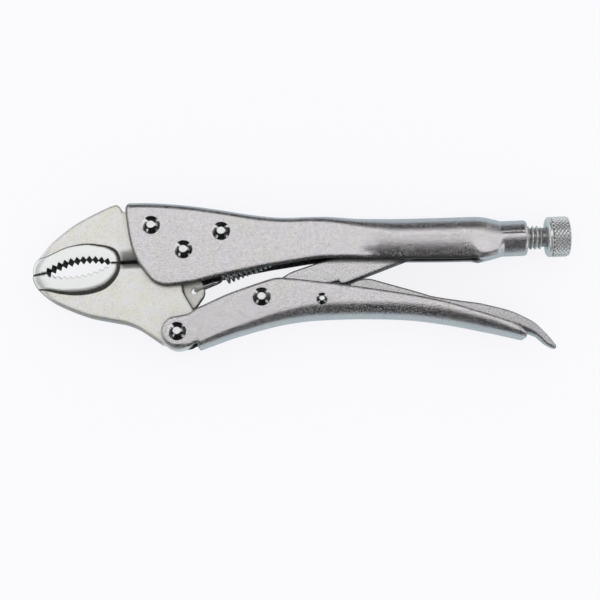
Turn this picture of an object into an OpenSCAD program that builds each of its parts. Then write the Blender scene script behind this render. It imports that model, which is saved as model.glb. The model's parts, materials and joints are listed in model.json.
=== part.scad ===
// Locking pliers with curved jaws, lying flat. Units: mm.
// X runs along the tool from the jaws to the adjusting knob, Y from the movable handle to the
// fixed handle, Z is the thickness. Every outline is written from the jaw pivot, with its middle
// plane at z = 0, for a tool of the nominal length, and stretched by k. The last module, placed,
// moves it all so that the box stands on z = 0 with its middle on the Z axis.

/* [Overall] */
// overall length along X
tool_length = 250; // [200:1:320]
// outside width of both handle channels
handle_width = 17.6; // [15:0.1:22]
// thickness of the handle sheet
sheet = 2.4; // [1.6:0.1:3]

/* [Jaws] */
// how far the ground pads stand above the forged body
pad_rise = 0.8; // [0.3:0.1:1.2]
// depth of the jaw teeth
tooth_depth = 1.8; // [1:0.1:2.4]
// number of teeth on the fixed jaw
upper_teeth = 11; // [7:1:15]
// number of teeth on the movable jaw
lower_teeth = 11; // [7:1:15]
// gap between the closed jaws
bite_gap = 0.1; // [0.05:0.05:0.4]
// chamfer along the split between the jaws
split_chamfer = 1.6; // [0.8:0.1:2.2]

/* [Rivets] */
// diameter of the main rivet shanks
rivet_d = 5.2; // [4:0.1:6]
// diameter of the main rivet heads
head_d = 8.5; // [7:0.1:9.5]
// height of the main rivet heads
head_h = 1.5; // [0.8:0.1:2]
// diameter of the release lever's rivet
small_rivet_d = 3.2; // [2.4:0.1:4]
// diameter of its head
small_head_d = 5.4; // [4:0.1:6.5]

/* [Screw] */
// outside diameter of the thread
thread_d = 11.1; // [9:0.1:12]
// thread pitch
pitch = 2.1; // [1.5:0.05:2.5]
// diameter of the knob
knob_d = 18.8; // [16:0.1:20]
// length of the knob
knob_l = 11.6; // [10:0.1:16]
// thread that shows between tube and knob at rest
thread_shown = 7.2; // [4:0.1:12]

/* [Release lever] */
// thickness of the lever's sheet
lever_sheet = 1.5; // [1:0.1:2]

/* [Spring] */
// wire diameter
wire_d = 1.2; // [0.8:0.1:1.5]
// outside diameter of the coil
coil_d = 5.8; // [4.5:0.1:6.5]
// number of turns
coil_turns = 13; // [8:1:18]

/* [Show] */
// the piece to draw, or all

/* [Hidden] */
$fn = 48;
k = tool_length / 250;

// fits, each stated once
side_gap = 0.2;      // between a jaw and a handle flange, on each side
run_gap = 0.05;      // around a rivet shank that something turns on
turn_gap = 0.4;      // between the jaws round the pivot boss
thread_gap = 0.1;    // around the thread in the tube
nest_gap = 0.3;      // between the release lever and the movable handle
toe_gap = 3.5;       // between the link's toe and the screw's nose
hook_gap = 0.3;      // around the spring's wire where it passes through a hole

// widths, as half widths from the middle plane
half_w = handle_width / 2;
half_in = half_w - sheet;
half_jaw = half_in - side_gap;
half_body = half_jaw - pad_rise;
half_lug = 0.36 * half_in;
half_link = 0.74 * half_in;
half_lever = half_in - nest_gap;

// pivots and rivets
jaw_pivot = [0, 0];
front_rivet = k * [-14.6, 12.0];
rear_rivet = k * [17.7, 7.9];
handle_pivot = k * [-4.0, -37.8];
link_pivot = k * [35.3, -23.4];
lever_pivot = k * [63.0, -25.4];
toe = k * [112.8, 0.4];
toe_r = 5.1 * k;
eye_r = 6.6 * k;
boss_r = 9.5 * k;
ear_r = 7.3 * k;
lug_eye = k * [4.0, -18.8];
lug_hole_r = 1.5 * k;
anchor = lug_eye + k * 52 * [cos(20.4), sin(20.4)];

// the screw's line
axis_y = toe[1];
tube_r = 8.3 * k;
bore_r = thread_d / 2 + thread_gap;
tube_start = 139 * k;
tube_end = 160.8 * k;
knob_start = tube_end + thread_shown;
knob_end = knob_start + knob_l;
nose_x = toe[0] + toe_r + toe_gap;

// teeth: the tips of each jaw lie on an arc
// [centre, radius, first angle, last angle]
upper_arc = [k * [-44.9, -38.3], 35.5 * k, 121.8, 72.4];
lower_arc = [k * [-53.1, 27.4], 37.4 * k, 254, 300.3];

// the box
left_x = -70.4 * k;
top_y = 23.2 * k;
low_y = -52.4 * k;
floor_z = half_w + head_h;
centre = [(left_x + knob_end) / 2, (top_y + low_y) / 2];

// ---- curves ----

function along(a, b, c, d, t) =
    0.5 * (2 * b + (c - a) * t + (2 * a - 5 * b + 4 * c - d) * t * t
    + (3 * b - a - 3 * c + d) * t * t * t);

// a smooth line through points, n steps between two of them
function curve(p, n = 3) = concat(
    [for (i = [0:len(p) - 2]) for (s = [0:n - 1])
        along(p[max(i - 1, 0)], p[i], p[i + 1], p[min(i + 2, len(p) - 1)], s / n)],
    [p[len(p) - 1]]);

function arc(c, r, a0, a1, n = 8) =
    [for (i = [0:n]) c + r * [cos(a0 + (a1 - a0) * i / n), sin(a0 + (a1 - a0) * i / n)]];

// tips on the arc, and gullets between them on a larger one
function teeth(a, count, depth) = [for (i = [0:2 * count]) let (
        angle = a[2] + (a[3] - a[2]) * i / (2 * count),
        r = a[1] + (i % 2 == 1 ? depth * k : 0))
    a[0] + r * [cos(angle), sin(angle)]];

function turned(list) = [for (i = [len(list) - 1:-1:0]) list[i]];

// ---- folded channels ----
// A station is [x, y of the back, y of the open edge, bend radius, half width, tuck]. A section
// has an outer and an inner path with the same number of points.

side_n = 8;
bend_n = 5;

function half_path(s, t) = let (
        up = sign(s[1] - s[2]),
        w = s[4] - t,
        r = min(max(s[3] - t, 0.4), w - 0.3),
        back = s[1] - up * t,
        bend = back - up * r)
    concat(
        [for (i = [0:side_n]) let (u = pow(i / side_n, 1.6))
            [w - s[5] * (1 - u) * (1 - u), s[2] + (bend - s[2]) * u]],
        [for (i = [1:bend_n]) let (a = 90 * i / bend_n)
            [w - r + r * cos(a), bend + up * r * sin(a)]]);

function whole_path(s, t) = let (h = half_path(s, t))
    concat(h, [for (p = turned(h)) [-p[0], p[1]]]);

function section(s, t) = concat(whole_path(s, 0), turned(whole_path(s, t)));

// lean = [y, x] pairs: the slanted front end, which fades out over a length
function leaned(x, y, x0, lean, fade) =
    lean == undef ? x : x + (lookup(y, lean) - x0) * max(0, 1 - (x - x0) / fade);

module channel(stations, t, lean = undef, fade = 60) {
    loops = [for (s = stations) [for (p = section(s, t))
        [leaned(s[0], p[1], stations[0][0], lean, fade), p[1], p[0]]]];
    m = len(loops[0]);
    n = m / 2;
    count = len(loops);
    last = (count - 1) * m;
    flip = stations[0][1] < stations[0][2];
    sides = [for (i = [0:count - 2]) for (j = [0:m - 1]) let (
            a = i * m + j,
            b = i * m + (j + 1) % m)
        each [[a, b, b + m], [a, b + m, a + m]]];
    front = [for (j = [0:n - 2]) each [
        [j, m - 1 - j, j + 1], [j + 1, m - 1 - j, m - 2 - j]]];
    rear = [for (f = front) [last + f[0], last + f[2], last + f[1]]];
    faces = concat(sides, front, rear);
    polyhedron([for (l = loops) each l],
        flip ? [for (f = faces) [f[0], f[2], f[1]]] : faces, convexity = 6);
}

// ---- small shapes ----

module slab(half, outline) {
    translate([0, 0, -half])
        linear_extrude(2 * half)
            polygon(outline);
}

module disc(at, r, half) {
    translate([at[0], at[1], -half])
        cylinder(h = 2 * half, r = r);
}

// a rivet through both flanges, with a domed head that ends in a small flat
module rivet(at, d, wide, high, reach) {
    flat = 0.17 * wide;
    rim = 0.25 * high;
    dome = [for (i = [0:5]) [flat + (wide / 2 - flat) * cos(18 * i), rim + (high - rim) * sin(18 * i)]];
    translate([at[0], at[1], 0]) {
        cylinder(h = 2 * reach, d = d, center = true);
        for (side = [0, 180])
            rotate([side, 0, 0])
                translate([0, 0, reach])
                    rotate_extrude()
                        polygon(concat([[0, 0], [wide / 2, 0]], dome, [[0, high]]));
    }
}

// turns a profile [distance along X, radius] round the screw's line
module turned_part(profile) {
    translate([0, axis_y, 0])
        rotate([0, 90, 0])
            rotate_extrude()
                polygon([for (p = profile) [p[1], p[0]]]);
}

// round wire along a list of points: frames are taken from one fixed direction
function unit(v) = v / norm(v);
module wire(points, d, aim, n = 6) {
    count = len(points);
    ring = [for (i = [0:count - 1]) let (
            ahead = unit(points[min(i + 1, count - 1)] - points[max(i - 1, 0)]),
            u = unit(cross(ahead, aim)),
            v = cross(ahead, u))
        for (j = [0:n - 1]) points[i] + d / 2 * (cos(360 * j / n) * u + sin(360 * j / n) * v)];
    sides = [for (i = [0:count - 2]) for (j = [0:n - 1]) let (
            a = i * n + j,
            b = i * n + (j + 1) % n)
        each [[a, b + n, b], [a, a + n, b + n]]];
    caps = [[for (j = [0:n - 1]) j], [for (j = [n - 1:-1:0]) (count - 1) * n + j]];
    polyhedron(ring, concat(sides, caps), convexity = 10);
}

// ---- fixed handle ----

fixed_back = curve(k * [[-28, 23.3], [-13.4, 22.7], [1.6, 21.0], [16.7, 18.4], [31.7, 15.4],
    [45.1, 13.5], [58, 13.3], [68, 13.1], [80, 12.0], [96.5, 11.6], [118, 11.3], [134, 11.2],
    [139, 11.0], [143, 10.1], [147, 8.95]]);
fixed_edge = curve(k * [[-28, -16.6], [-6.9, -16.6], [4.8, -15.4], [15.8, -13.1], [30.5, -10.6],
    [40, -9.1], [49, -8.0], [58, -6.9], [66, -6.5], [80, -6.7], [96, -7.4], [118, -8.1],
    [134, -8.4], [139, -9.0], [143, -8.0], [147, -6.6]]);
fixed_bend = k * [[-28, 3.2], [60, 3.2], [76, 4.6], [98, 8.2], [138, 8.2], [147, 7.9]];
fixed_wide = [[-28 * k, half_w], [138 * k, half_w], [147 * k, tube_r + 0.3 * k]];
fixed_tuck = k * [[-28, 0], [72, 0], [98, 1.2], [134, 1.4], [147, 2.4]];
fixed_front = curve(k * [[-16.6, -6.0], [-15.8, -11.6], [-12.4, -16.3], [-6.4, -20.4],
    [-0.4, -23.2], [7.2, -25.0], [18.0, -26.3], [22.6, -25.6], [24, -24.4]]);
fixed_stops = k * [-26.3, -20, -14, -7, 0, 8, 16, 24, 32, 40, 50, 60, 68, 76, 83, 90, 98, 108,
    118, 128, 134, 137, 139, 141, 143, 145, 147];

module fixed_handle() {
    color([0.78, 0.76, 0.78])
    difference() {
        union() {
            channel([for (x = fixed_stops) let (x_edge = leaned(x, -16.6 * k, -26.3 * k, fixed_front, 60 * k))
                [x, lookup(x, fixed_back), lookup(x_edge, fixed_edge), lookup(x, fixed_bend),
                    lookup(x, fixed_wide), lookup(x, fixed_tuck)]], sheet, fixed_front, 60 * k);
            turned_part(concat([[tube_start, 0], [tube_start, tube_r]],
                [for (i = [0:4]) [tube_end - 1.8 * k + 1.8 * k * sin(22.5 * i), tube_r - 1.8 * k + 1.8 * k * cos(22.5 * i)]],
                [[tube_end, 0]]));
            anchor_tab();
        }
        turned_part([[tube_start - 12 * k, 0], [tube_start - 12 * k, bore_r], [tube_end + 1, bore_r], [tube_end + 1, 0]]);
        for (at = [front_rivet, rear_rivet, jaw_pivot])
            disc(at, rivet_d / 2, half_w + 1);
        translate([anchor[0], anchor[1], 0])
            rotate([0, 90, 20.4])
                cylinder(h = 8 * k, d = wire_d + 2 * hook_gap, center = true);
    }
}

// a tongue lanced out of the back, which holds the spring's rear end
module anchor_tab() {
    top = lookup(anchor[0], fixed_back) - sheet / 2;
    low = anchor[1] - 2.6 * k;
    translate([anchor[0] - sheet / 2, low, -2.6 * k])
        cube([sheet, top - low, 5.2 * k]);
}

// ---- jaws ----

upper_nose = curve(k * [[-70.1, -8.9], [-70.4, -6.4], [-69.2, -3.0], [-66.6, 0.1], [-62.1, 5.1],
    [-56.2, 10.0], [-50.4, 14.1], [-42.6, 18.2], [-34.8, 21.7], [-32.2, 22.6]], 2);
upper_tip_line = [k * [-70.1, -8.9], k * [-63.8, -8.2]];
seat_y = -4.45 * k;

module fixed_jaw_outline() {
    polygon(concat(
        upper_nose,
        k * [[-30.6, 22.9], [-29.0, 21.6], [-28.0, 19.4]],
        [for (x = k * [-22, -12, -2, 8]) [x, lookup(x, fixed_back) - sheet - 1.4 * k]],
        arc(rear_rivet, 6.4 * k, 84, -84, 8),
        k * [[11.5, 1.4]],
        arc(jaw_pivot, boss_r + turn_gap, 12, 190, 12),
        k * [[-14, -3.2], [-29.2, -3.7]],
        [[-29.8 * k, seat_y], [-33.4 * k, seat_y]],
        turned(teeth(upper_arc, upper_teeth, tooth_depth)),
        [upper_tip_line[1]]));
}

module fixed_jaw() {
    color([0.76, 0.76, 0.73])
    difference() {
        union() {
            translate([0, 0, -half_body])
                linear_extrude(2 * half_body)
                    fixed_jaw_outline();
            translate([0, 0, -half_jaw])
                linear_extrude(2 * half_jaw)
                    intersection() {
                        fixed_jaw_outline();
                        polygon(upper_pad);
                    }
            disc(front_rivet, 6.4 * k, half_jaw);
            disc(rear_rivet, 5.8 * k, half_jaw);
        }
        for (at = [front_rivet, rear_rivet])
            disc(at, rivet_d / 2, half_w);
        bevel(k * [-29.2, -3.7], k * [-14, -3.2], 1);
    }
}

upper_pad = curve(k * [[-74, -3.0], [-66.1, -0.9], [-63.8, -0.5], [-60.0, 1.1], [-54.9, 3.3],
    [-50.3, 4.4], [-46.5, 4.9], [-42.6, 4.8], [-38.8, 4.1], [-35.0, 2.9], [-32.4, 1.2],
    [-30.8, -1.2], [-30.2, -4.6], [-30.2, -12], [-74, -12]], 2);
lower_pad = curve(k * [[-76, -16.2], [-67, -16.3], [-63.3, -15.9], [-60.3, -16.2], [-56.5, -16.9],
    [-50.7, -17.3], [-45.0, -16.8], [-39.2, -14.9], [-33.8, -12.4], [-30.9, -9.6], [-30.3, -4.4],
    [-30.3, 0], [-76, 0]], 2);

// takes the corners off a jaw's edge from a to b on both faces; side = 1 cuts above it
module bevel(a, b, side) {
    run = norm(b - a);
    c = split_chamfer * k;
    for (face = [-1, 1])
        translate([a[0], a[1], face * half_body])
            rotate([0, 0, atan2(b[1] - a[1], b[0] - a[0])])
                rotate([45 * side * face, 0, 0])
                    translate([-0.5, -c, -c])
                        cube([run + 1, 2 * c * 0.7071, 2 * c * 0.7071]);
}

lower_nose = curve(k * [[-70.2, -9.2], [-70.4, -10.6], [-69.3, -13.4], [-67.2, -16.4],
    [-64.1, -19.4], [-60.2, -22.0], [-54.5, -24.9], [-48.7, -27.4], [-43.2, -29.3],
    [-32.7, -31.7], [-27.4, -33.0], [-22.1, -35.4], [-16.8, -39.1], [-11.8, -42.8]], 2);

module movable_jaw_outline() {
    polygon(concat(
        lower_nose,
        arc(handle_pivot, 8.2 * k, 222, 350, 9),
        curve(k * [[5.2, -31], [3.4, -26.9], [1.2, -22.9], [-0.6, -19.2], [-0.6, -14.5], [4, -9.4]], 2),
        arc(jaw_pivot, boss_r, -60, 207, 18),
        k * [[-14, -5.0], [-29.2, -5.3]],
        [[-29.8 * k, seat_y - bite_gap], [-33.6 * k, seat_y - bite_gap]],
        turned(teeth(lower_arc, lower_teeth, 0.75 * tooth_depth)),
        [upper_tip_line[1] - [0, bite_gap], upper_tip_line[0] - [0, bite_gap]]));
}

module movable_jaw() {
    color([0.76, 0.76, 0.73])
    difference() {
        union() {
            translate([0, 0, -half_body])
                linear_extrude(2 * half_body)
                    movable_jaw_outline();
            translate([0, 0, -half_jaw])
                linear_extrude(2 * half_jaw)
                    intersection() {
                        movable_jaw_outline();
                        polygon(lower_pad);
                    }
            disc(jaw_pivot, boss_r - 0.3 * k, half_jaw);
            disc(handle_pivot, 6.2 * k, half_jaw);
            spring_lug();
        }
        for (at = [jaw_pivot, handle_pivot])
            disc(at, rivet_d / 2 + run_gap, half_w);
        bevel(k * [-29.2, -5.3], k * [-14, -5.0], -1);
    }
}

module spring_lug() {
    difference() {
        slab(half_lug, curve(k * [[-2, -14], [4, -12.5], [7.6, -14.5], [8.9, -18.0], [8.6, -21.0],
            [6.7, -23.8], [4.0, -27.0], [0, -28]], 2));
        disc(lug_eye, lug_hole_r, half_w);
    }
}

// ---- movable handle ----

moving_edge = curve(k * [[-13, -33.5], [-4.4, -30.4], [3.9, -27.7], [8.9, -25.9], [19.0, -21.7],
    [29.7, -18.2], [37.6, -15.9], [42.0, -14.9], [46, -15.0], [53.5, -16.0], [67.6, -18.2],
    [84.7, -21.2], [105.6, -25.3], [121.2, -29.3], [132.2, -33.0], [144.3, -37.3],
    [150.3, -39.8], [153.8, -42.2], [156.2, -44.6]]);
moving_back = curve(k * [[-13, -50], [2, -50], [5.3, -46.0], [12.2, -43.8], [23, -40.5],
    [39.2, -36.7], [50.0, -35.1], [60.8, -34.4], [80.5, -34.5], [102.2, -35.9], [120.8, -38.9],
    [136.0, -42.3], [145.5, -44.5], [156.2, -47.2]]);
moving_bend = k * [[-13, 3.6], [10, 3.6], [30, 4.6], [50, 6.4], [60, 7.0], [120, 7.0], [140, 5.4],
    [149, 3.4], [153, 1.9], [156.2, 1.2]];
moving_stops = k * [-13, -6, 0, 3.5, 5.3, 7, 12, 18, 24, 30, 36, 42, 46, 52, 60, 70, 80, 90, 100,
    110, 120, 128, 136, 142, 147, 150, 152.5, 154.5, 156.2];

module movable_handle() {
    color([0.78, 0.76, 0.78])
    difference() {
        channel([for (x = moving_stops)
            [x, lookup(x, moving_back), lookup(x, moving_edge), lookup(x, moving_bend), half_w, 0]], sheet);
        translate([0, 0, -half_w - 1])
            linear_extrude(handle_width + 2)
                difference() {
                    translate(k * [-30, -60])
                        square(k * [35.3, 50]);
                    ear_outline();
                }
        for (at = [handle_pivot, link_pivot])
            disc(at, rivet_d / 2, half_w + 1);
        disc(lever_pivot, small_rivet_d / 2, half_w + 1);
    }
}

module ear_outline() {
    translate(handle_pivot)
        circle(r = ear_r);
    polygon([handle_pivot + ear_r * [cos(112), sin(112)], k * [7, -26.6], k * [7, -43.6],
        k * [3.9, -43.6], handle_pivot + ear_r * [cos(-82), sin(-82)]]);
}

// ---- linkage ----

module toggle_link() {
    color([0.74, 0.74, 0.75])
    difference() {
        union() {
            slab(half_link, concat(
                arc(link_pivot, eye_r, 62, 305, 14),
                curve(k * [[43, -27.2], [52, -22.9], [60, -20.0], [67.8, -17.8], [71.0, -17.0]], 2),
                k * [[72.0, -18.4], [73.8, -18.5]],
                arc(toe, toe_r, -71.4, 105.4, 10),
                curve(k * [[62, -7.9], [54.8, -10.1], [49.0, -12.0], [44.4, -14.6]], 2)));
            disc(link_pivot, eye_r - 1.2 * k, half_in - nest_gap);
        }
        disc(link_pivot, rivet_d / 2 + run_gap, half_w);
    }
}

lever_edge = curve(k * [[57.6, -24.5], [59.6, -21.6], [63, -20.6], [68, -20.8], [73, -20.4],
    [75.6, -18.9], [80.0, -17.1], [83.0, -16.5], [86.3, -16.9], [90.5, -18.2], [95.1, -19.7],
    [108.3, -24.0], [114.5, -26.1], [126.7, -28.5], [135.7, -30.1], [146.1, -32.8],
    [151.3, -34.6], [156.4, -37.1], [161.0, -39.9], [165.9, -44.9], [168.4, -48.0],
    [170.6, -50.8]], 2);
lever_back = curve(k * [[57.6, -30.4], [63, -31.0], [80, -31.3], [102, -32.4], [121, -35.6],
    [136, -39.0], [145.5, -41.2], [152, -42.8], [157.9, -44.8], [161.5, -46.4], [163.5, -48.4],
    [165.8, -50.3], [168.4, -51.7], [170.6, -52.4]], 2);
lever_bend = k * [[57, 3.2], [63, 4.4], [140, 4.4], [156, 3.0], [164, 1.9], [167, 1.2], [170.6, 0.5]];
lever_wide = concat([for (p = [[57, 1], [142, 1], [150, 0.9], [158, 0.62], [164, 0.46], [168, 0.4], [170.6, 0.36]])
    [k * p[0], half_lever * p[1]]]);
lever_stops = k * [57.6, 59, 61, 63, 67, 71, 73.4, 75, 77.5, 80, 83, 87, 91, 96, 103, 110, 118,
    126, 134, 142, 147, 151, 154, 157, 160, 163, 165.5, 168, 169.6, 170.6];

module release_lever() {
    color([0.75, 0.75, 0.76])
    difference() {
        channel([for (x = lever_stops)
            [x, lookup(x, lever_back), lookup(x, lever_edge), lookup(x, lever_bend), lookup(x, lever_wide), 0]], lever_sheet);
        disc(lever_pivot, small_rivet_d / 2 + run_gap, half_w);
    }
}

// ---- screw ----

core = thread_d / 2 - 0.6 * pitch;
shank_r = core - 0.2;
threads = floor((knob_start - 1 - nose_x - 6 * k) / pitch);
thread_profile = [for (i = [0:threads - 1]) let (x = knob_start - 1 - (threads - i) * pitch)
    each [[x, core], [x + 0.4 * pitch, thread_d / 2], [x + 0.6 * pitch, thread_d / 2]]];

module adjusting_screw() {
    color([0.72, 0.72, 0.70])
    turned_part(concat(
        [[nose_x, 0], [nose_x, 0.7 * core], [nose_x + 1, core]],
        thread_profile,
        [[knob_start - 1, core], [knob_start + 2, core], [knob_start + 2, shank_r], [knob_end - 0.4, shank_r], [knob_end - 0.4, 0]]));
}

module screw_knob() {
    round_r = 1.3 * k;
    collar = 2.65 * k;
    rim = knob_d / 2;
    color([0.72, 0.72, 0.72])
    turned_part(concat(
        [[knob_start + 2.2, shank_r + run_gap], [knob_start + 2.2, core + 0.3], [knob_start, 0.72 * rim]],
        [for (i = [0:3]) [knob_start + round_r - round_r * cos(30 * i), rim - round_r + round_r * sin(30 * i)]],
        [[knob_start + collar, rim], [knob_start + collar + 0.2, rim - 0.3], [knob_start + collar + 0.5, rim - 0.3], [knob_start + collar + 0.7, rim]],
        [for (i = [3:-1:0]) [knob_end - round_r + round_r * cos(30 * i), rim - round_r + round_r * sin(30 * i)]],
        [[knob_end, shank_r + 1.4], [knob_end - 0.8, shank_r + run_gap]]));
}

// ---- spring ----

spring_dir = unit([anchor[0] - lug_eye[0], anchor[1] - lug_eye[1], 0]);
spring_side = cross([0, 0, 1], spring_dir);
coil_r = (coil_d - wire_d) / 2;
coil_start = 15.6 * k;
coil_end = 45 * k;

function on_spring(s, a, r) = [lug_eye[0], lug_eye[1], 0] + s * spring_dir
    + r * (cos(a) * spring_side + sin(a) * [0, 0, 1]);

module return_spring() {
    steps = 12;
    color([0.6, 0.6, 0.6]) {
        wire([for (i = [0:coil_turns * steps])
            on_spring(coil_start + (coil_end - coil_start) * i / (coil_turns * steps), 360 * i / steps, coil_r)],
            wire_d, spring_dir);
        wire(front_hook, wire_d, spring_side);
        wire(rear_end, wire_d, spring_side);
    }
}

// the front hook straddles the lug: down one side, through the eye and back along the other
leg_z = half_lug + wire_d / 2 + hook_gap;
turn_r = 0.75 * wire_d;
hook_s = lug_hole_r - wire_d / 2 - hook_gap;

function hook_at(s, z) = on_spring(s, 90, z);

front_hook = concat(
    curve([on_spring(coil_start, 0, coil_r), on_spring(coil_start - 0.7 * k, -40, coil_r),
        on_spring(coil_start - 2.4 * k, -85, coil_r), hook_at(coil_start - 4.6 * k, -leg_z),
        hook_at(hook_s + turn_r + 3 * k, -leg_z)], 3),
    [for (i = [0:4]) hook_at(hook_s + turn_r * (1 - sin(22.5 * i)), -leg_z + turn_r * (1 - cos(22.5 * i)))],
    [for (i = [4:-1:0]) hook_at(hook_s + turn_r * (1 - sin(22.5 * i)), leg_z - turn_r * (1 - cos(22.5 * i)))],
    [hook_at(hook_s + turn_r + 4.5 * k, leg_z), hook_at(coil_start - 5 * k, 0.92 * leg_z)]);

// the rear end runs along the spring's middle, through the tab's hole, and is bent over behind it
anchor_s = norm(anchor - lug_eye);
rear_end = concat(
    curve([on_spring(coil_end, 0, coil_r), on_spring(coil_end + 0.6 * k, 40, coil_r),
        on_spring(coil_end + 1.6 * k, 85, 0.7 * coil_r), hook_at(coil_end + 3 * k, 0),
        hook_at(anchor_s - sheet, 0)], 3),
    [for (i = [0:4]) hook_at(anchor_s + sheet + turn_r * sin(22.5 * i), turn_r * (1 - cos(22.5 * i)))],
    [hook_at(anchor_s + sheet + turn_r, turn_r + 1.6 * k)]);

// ---- rivets ----

module fixed_jaw_rivet_front() {
    color([0.85, 0.85, 0.86])
    rivet(front_rivet, rivet_d, head_d, head_h, half_w);
}

module fixed_jaw_rivet_rear() {
    color([0.85, 0.85, 0.86])
    rivet(rear_rivet, rivet_d, head_d, head_h, half_w);
}

module jaw_pivot_rivet() {
    color([0.85, 0.85, 0.86])
    rivet(jaw_pivot, rivet_d, head_d, head_h, half_w);
}

module jaw_handle_rivet() {
    color([0.85, 0.85, 0.86])
    rivet(handle_pivot, rivet_d, head_d, head_h, half_w);
}

module link_rivet() {
    color([0.85, 0.85, 0.86])
    rivet(link_pivot, rivet_d, head_d, head_h, half_w);
}

module lever_rivet() {
    color([0.85, 0.85, 0.86])
    rivet(lever_pivot, small_rivet_d, small_head_d, 0.65 * head_h, half_w);
}

// ---- drawing ----

module placed() {
    translate([-centre[0], -centre[1], floor_z])
        children();
}

placed() fixed_handle();
placed() fixed_jaw();
placed() fixed_jaw_rivet_front();
placed() fixed_jaw_rivet_rear();
placed() jaw_pivot_rivet();
placed() movable_jaw();
placed() movable_handle();
placed() jaw_handle_rivet();
placed() toggle_link();
placed() link_rivet();
placed() release_lever();
placed() lever_rivet();
placed() adjusting_screw();
placed() screw_knob();
placed() return_spring();
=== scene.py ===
# %% [markdown]
# # Locking pliers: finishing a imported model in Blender
# The construction of the pliers is fixed: its pieces, pivots and sizes come packed, as bodies that
# move on joints. This file gives each piece the surface that an eye would see: rolled sheet,
# ground bites, a real thread, a knurl and sprung wire. Every length is written in millimetres of a
# 250 mm tool and counted from the jaw pivot, which is how a maker would dimension the drawing.

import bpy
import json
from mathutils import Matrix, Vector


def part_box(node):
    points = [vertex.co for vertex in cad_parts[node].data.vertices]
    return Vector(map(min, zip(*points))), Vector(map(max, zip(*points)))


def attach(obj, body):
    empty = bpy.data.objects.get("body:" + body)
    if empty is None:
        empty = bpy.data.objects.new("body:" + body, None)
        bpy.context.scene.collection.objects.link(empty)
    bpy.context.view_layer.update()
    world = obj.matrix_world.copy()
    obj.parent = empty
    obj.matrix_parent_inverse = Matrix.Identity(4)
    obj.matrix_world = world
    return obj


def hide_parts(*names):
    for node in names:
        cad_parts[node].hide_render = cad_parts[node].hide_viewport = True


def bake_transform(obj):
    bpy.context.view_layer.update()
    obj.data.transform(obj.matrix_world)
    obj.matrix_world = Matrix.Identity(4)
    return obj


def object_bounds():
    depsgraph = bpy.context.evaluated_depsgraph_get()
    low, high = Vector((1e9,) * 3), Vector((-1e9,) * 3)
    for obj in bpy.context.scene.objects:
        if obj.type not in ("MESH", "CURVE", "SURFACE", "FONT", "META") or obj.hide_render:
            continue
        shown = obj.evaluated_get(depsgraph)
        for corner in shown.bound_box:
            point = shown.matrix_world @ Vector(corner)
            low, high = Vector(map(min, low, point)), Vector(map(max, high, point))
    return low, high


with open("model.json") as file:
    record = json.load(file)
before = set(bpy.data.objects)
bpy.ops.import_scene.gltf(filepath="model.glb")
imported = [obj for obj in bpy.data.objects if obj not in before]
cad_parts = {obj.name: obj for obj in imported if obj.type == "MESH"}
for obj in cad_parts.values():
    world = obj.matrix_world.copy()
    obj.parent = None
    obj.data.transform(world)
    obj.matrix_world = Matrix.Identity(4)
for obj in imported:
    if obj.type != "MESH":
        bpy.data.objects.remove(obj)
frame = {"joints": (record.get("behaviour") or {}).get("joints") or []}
cad_low, cad_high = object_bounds()

# %% Tools of the trade
import json
import math

import bmesh
import bpy
import numpy as np
from mathutils import Matrix, Vector
from mathutils.geometry import delaunay_2d_cdt

# %% [markdown]
# ## One ruler for the whole file
# The frame is in metres and stands on its own origin. A drawing is easier to read in millimetres
# from the jaw pivot, so two small functions go between the two. The scale comes from the packed
# box, so a longer tool is dressed just as well.

# %% The ruler
joints = {joint["name"]: joint for joint in frame["joints"]}
NOMINAL_LENGTH = 250.0
MM = (cad_high.x - cad_low.x) / NOMINAL_LENGTH
jaw_pivot = np.array(joints["jaw_open"]["pos_m"])


def place(points):
    """Points in tool millimetres, counted from the jaw pivot, as metres in the frame."""
    return jaw_pivot + MM * np.asarray(points, float)


def measure(node):
    """A node's middle and its half size, in tool millimetres."""
    low, high = (np.array(corner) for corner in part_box(node))
    return ((low + high) / 2 - jaw_pivot) / MM, (high - low) / 2 / MM


half_handle = measure("fixed_handle")[1][2]
half_jaw = measure("fixed_jaw")[1][2]
half_lever = measure("release_lever")[1][2]
print(f"1 tool mm is {MM * 1000:.3f} mm; the handles are {2 * half_handle:.1f} mm wide")

# %% [markdown]
# ## Smooth lines from few points
# A pressed handle has long, easy curves. A handful of points along such a curve and a Catmull-Rom
# line through them say the same as hundreds of measured points, and stay easy to edit. `track`
# turns a line into a rule that gives y for any x.

# %% Curves
def smooth(points, steps=6):
    """A Catmull-Rom line through the points, with so many steps from each point to the next."""
    p = np.asarray(points, float)
    p = np.vstack([p[:1], p, p[-1:]])
    t = np.linspace(0, 1, steps, endpoint=False)[:, None]
    runs = [
        0.5 * (2 * b + (c - a) * t + (2 * a - 5 * b + 4 * c - d) * t**2
               + (3 * b - a - 3 * c + d) * t**3)
        for a, b, c, d in zip(p, p[1:], p[2:], p[3:])
    ]
    return np.vstack(runs + [p[-1:]])


def arc(centre, radius, start, end, steps=12):
    """Points along a circular arc, with its angles in degrees."""
    angle = np.radians(np.linspace(start, end, steps + 1))
    return np.asarray(centre) + radius * np.column_stack([np.cos(angle), np.sin(angle)])


def track(points, steps=6):
    """A function that reads y off a smooth line at any x."""
    line = smooth(points, steps)
    return lambda x: np.interp(x, line[:, 0], line[:, 1])


def straight(points):
    """The same for a line of straight stretches."""
    line = np.asarray(points, float)
    return lambda x: np.interp(x, line[:, 0], line[:, 1])


def ease(x, start, end):
    """0 before start, 1 after end, and a smooth step between them."""
    t = np.clip((np.asarray(x, float) - start) / (end - start), 0, 1)
    return t * t * (3 - 2 * t)


def steady(value):
    """A rule that gives the same value at every place."""
    return lambda places: np.full(np.shape(places)[:1], float(value))


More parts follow.
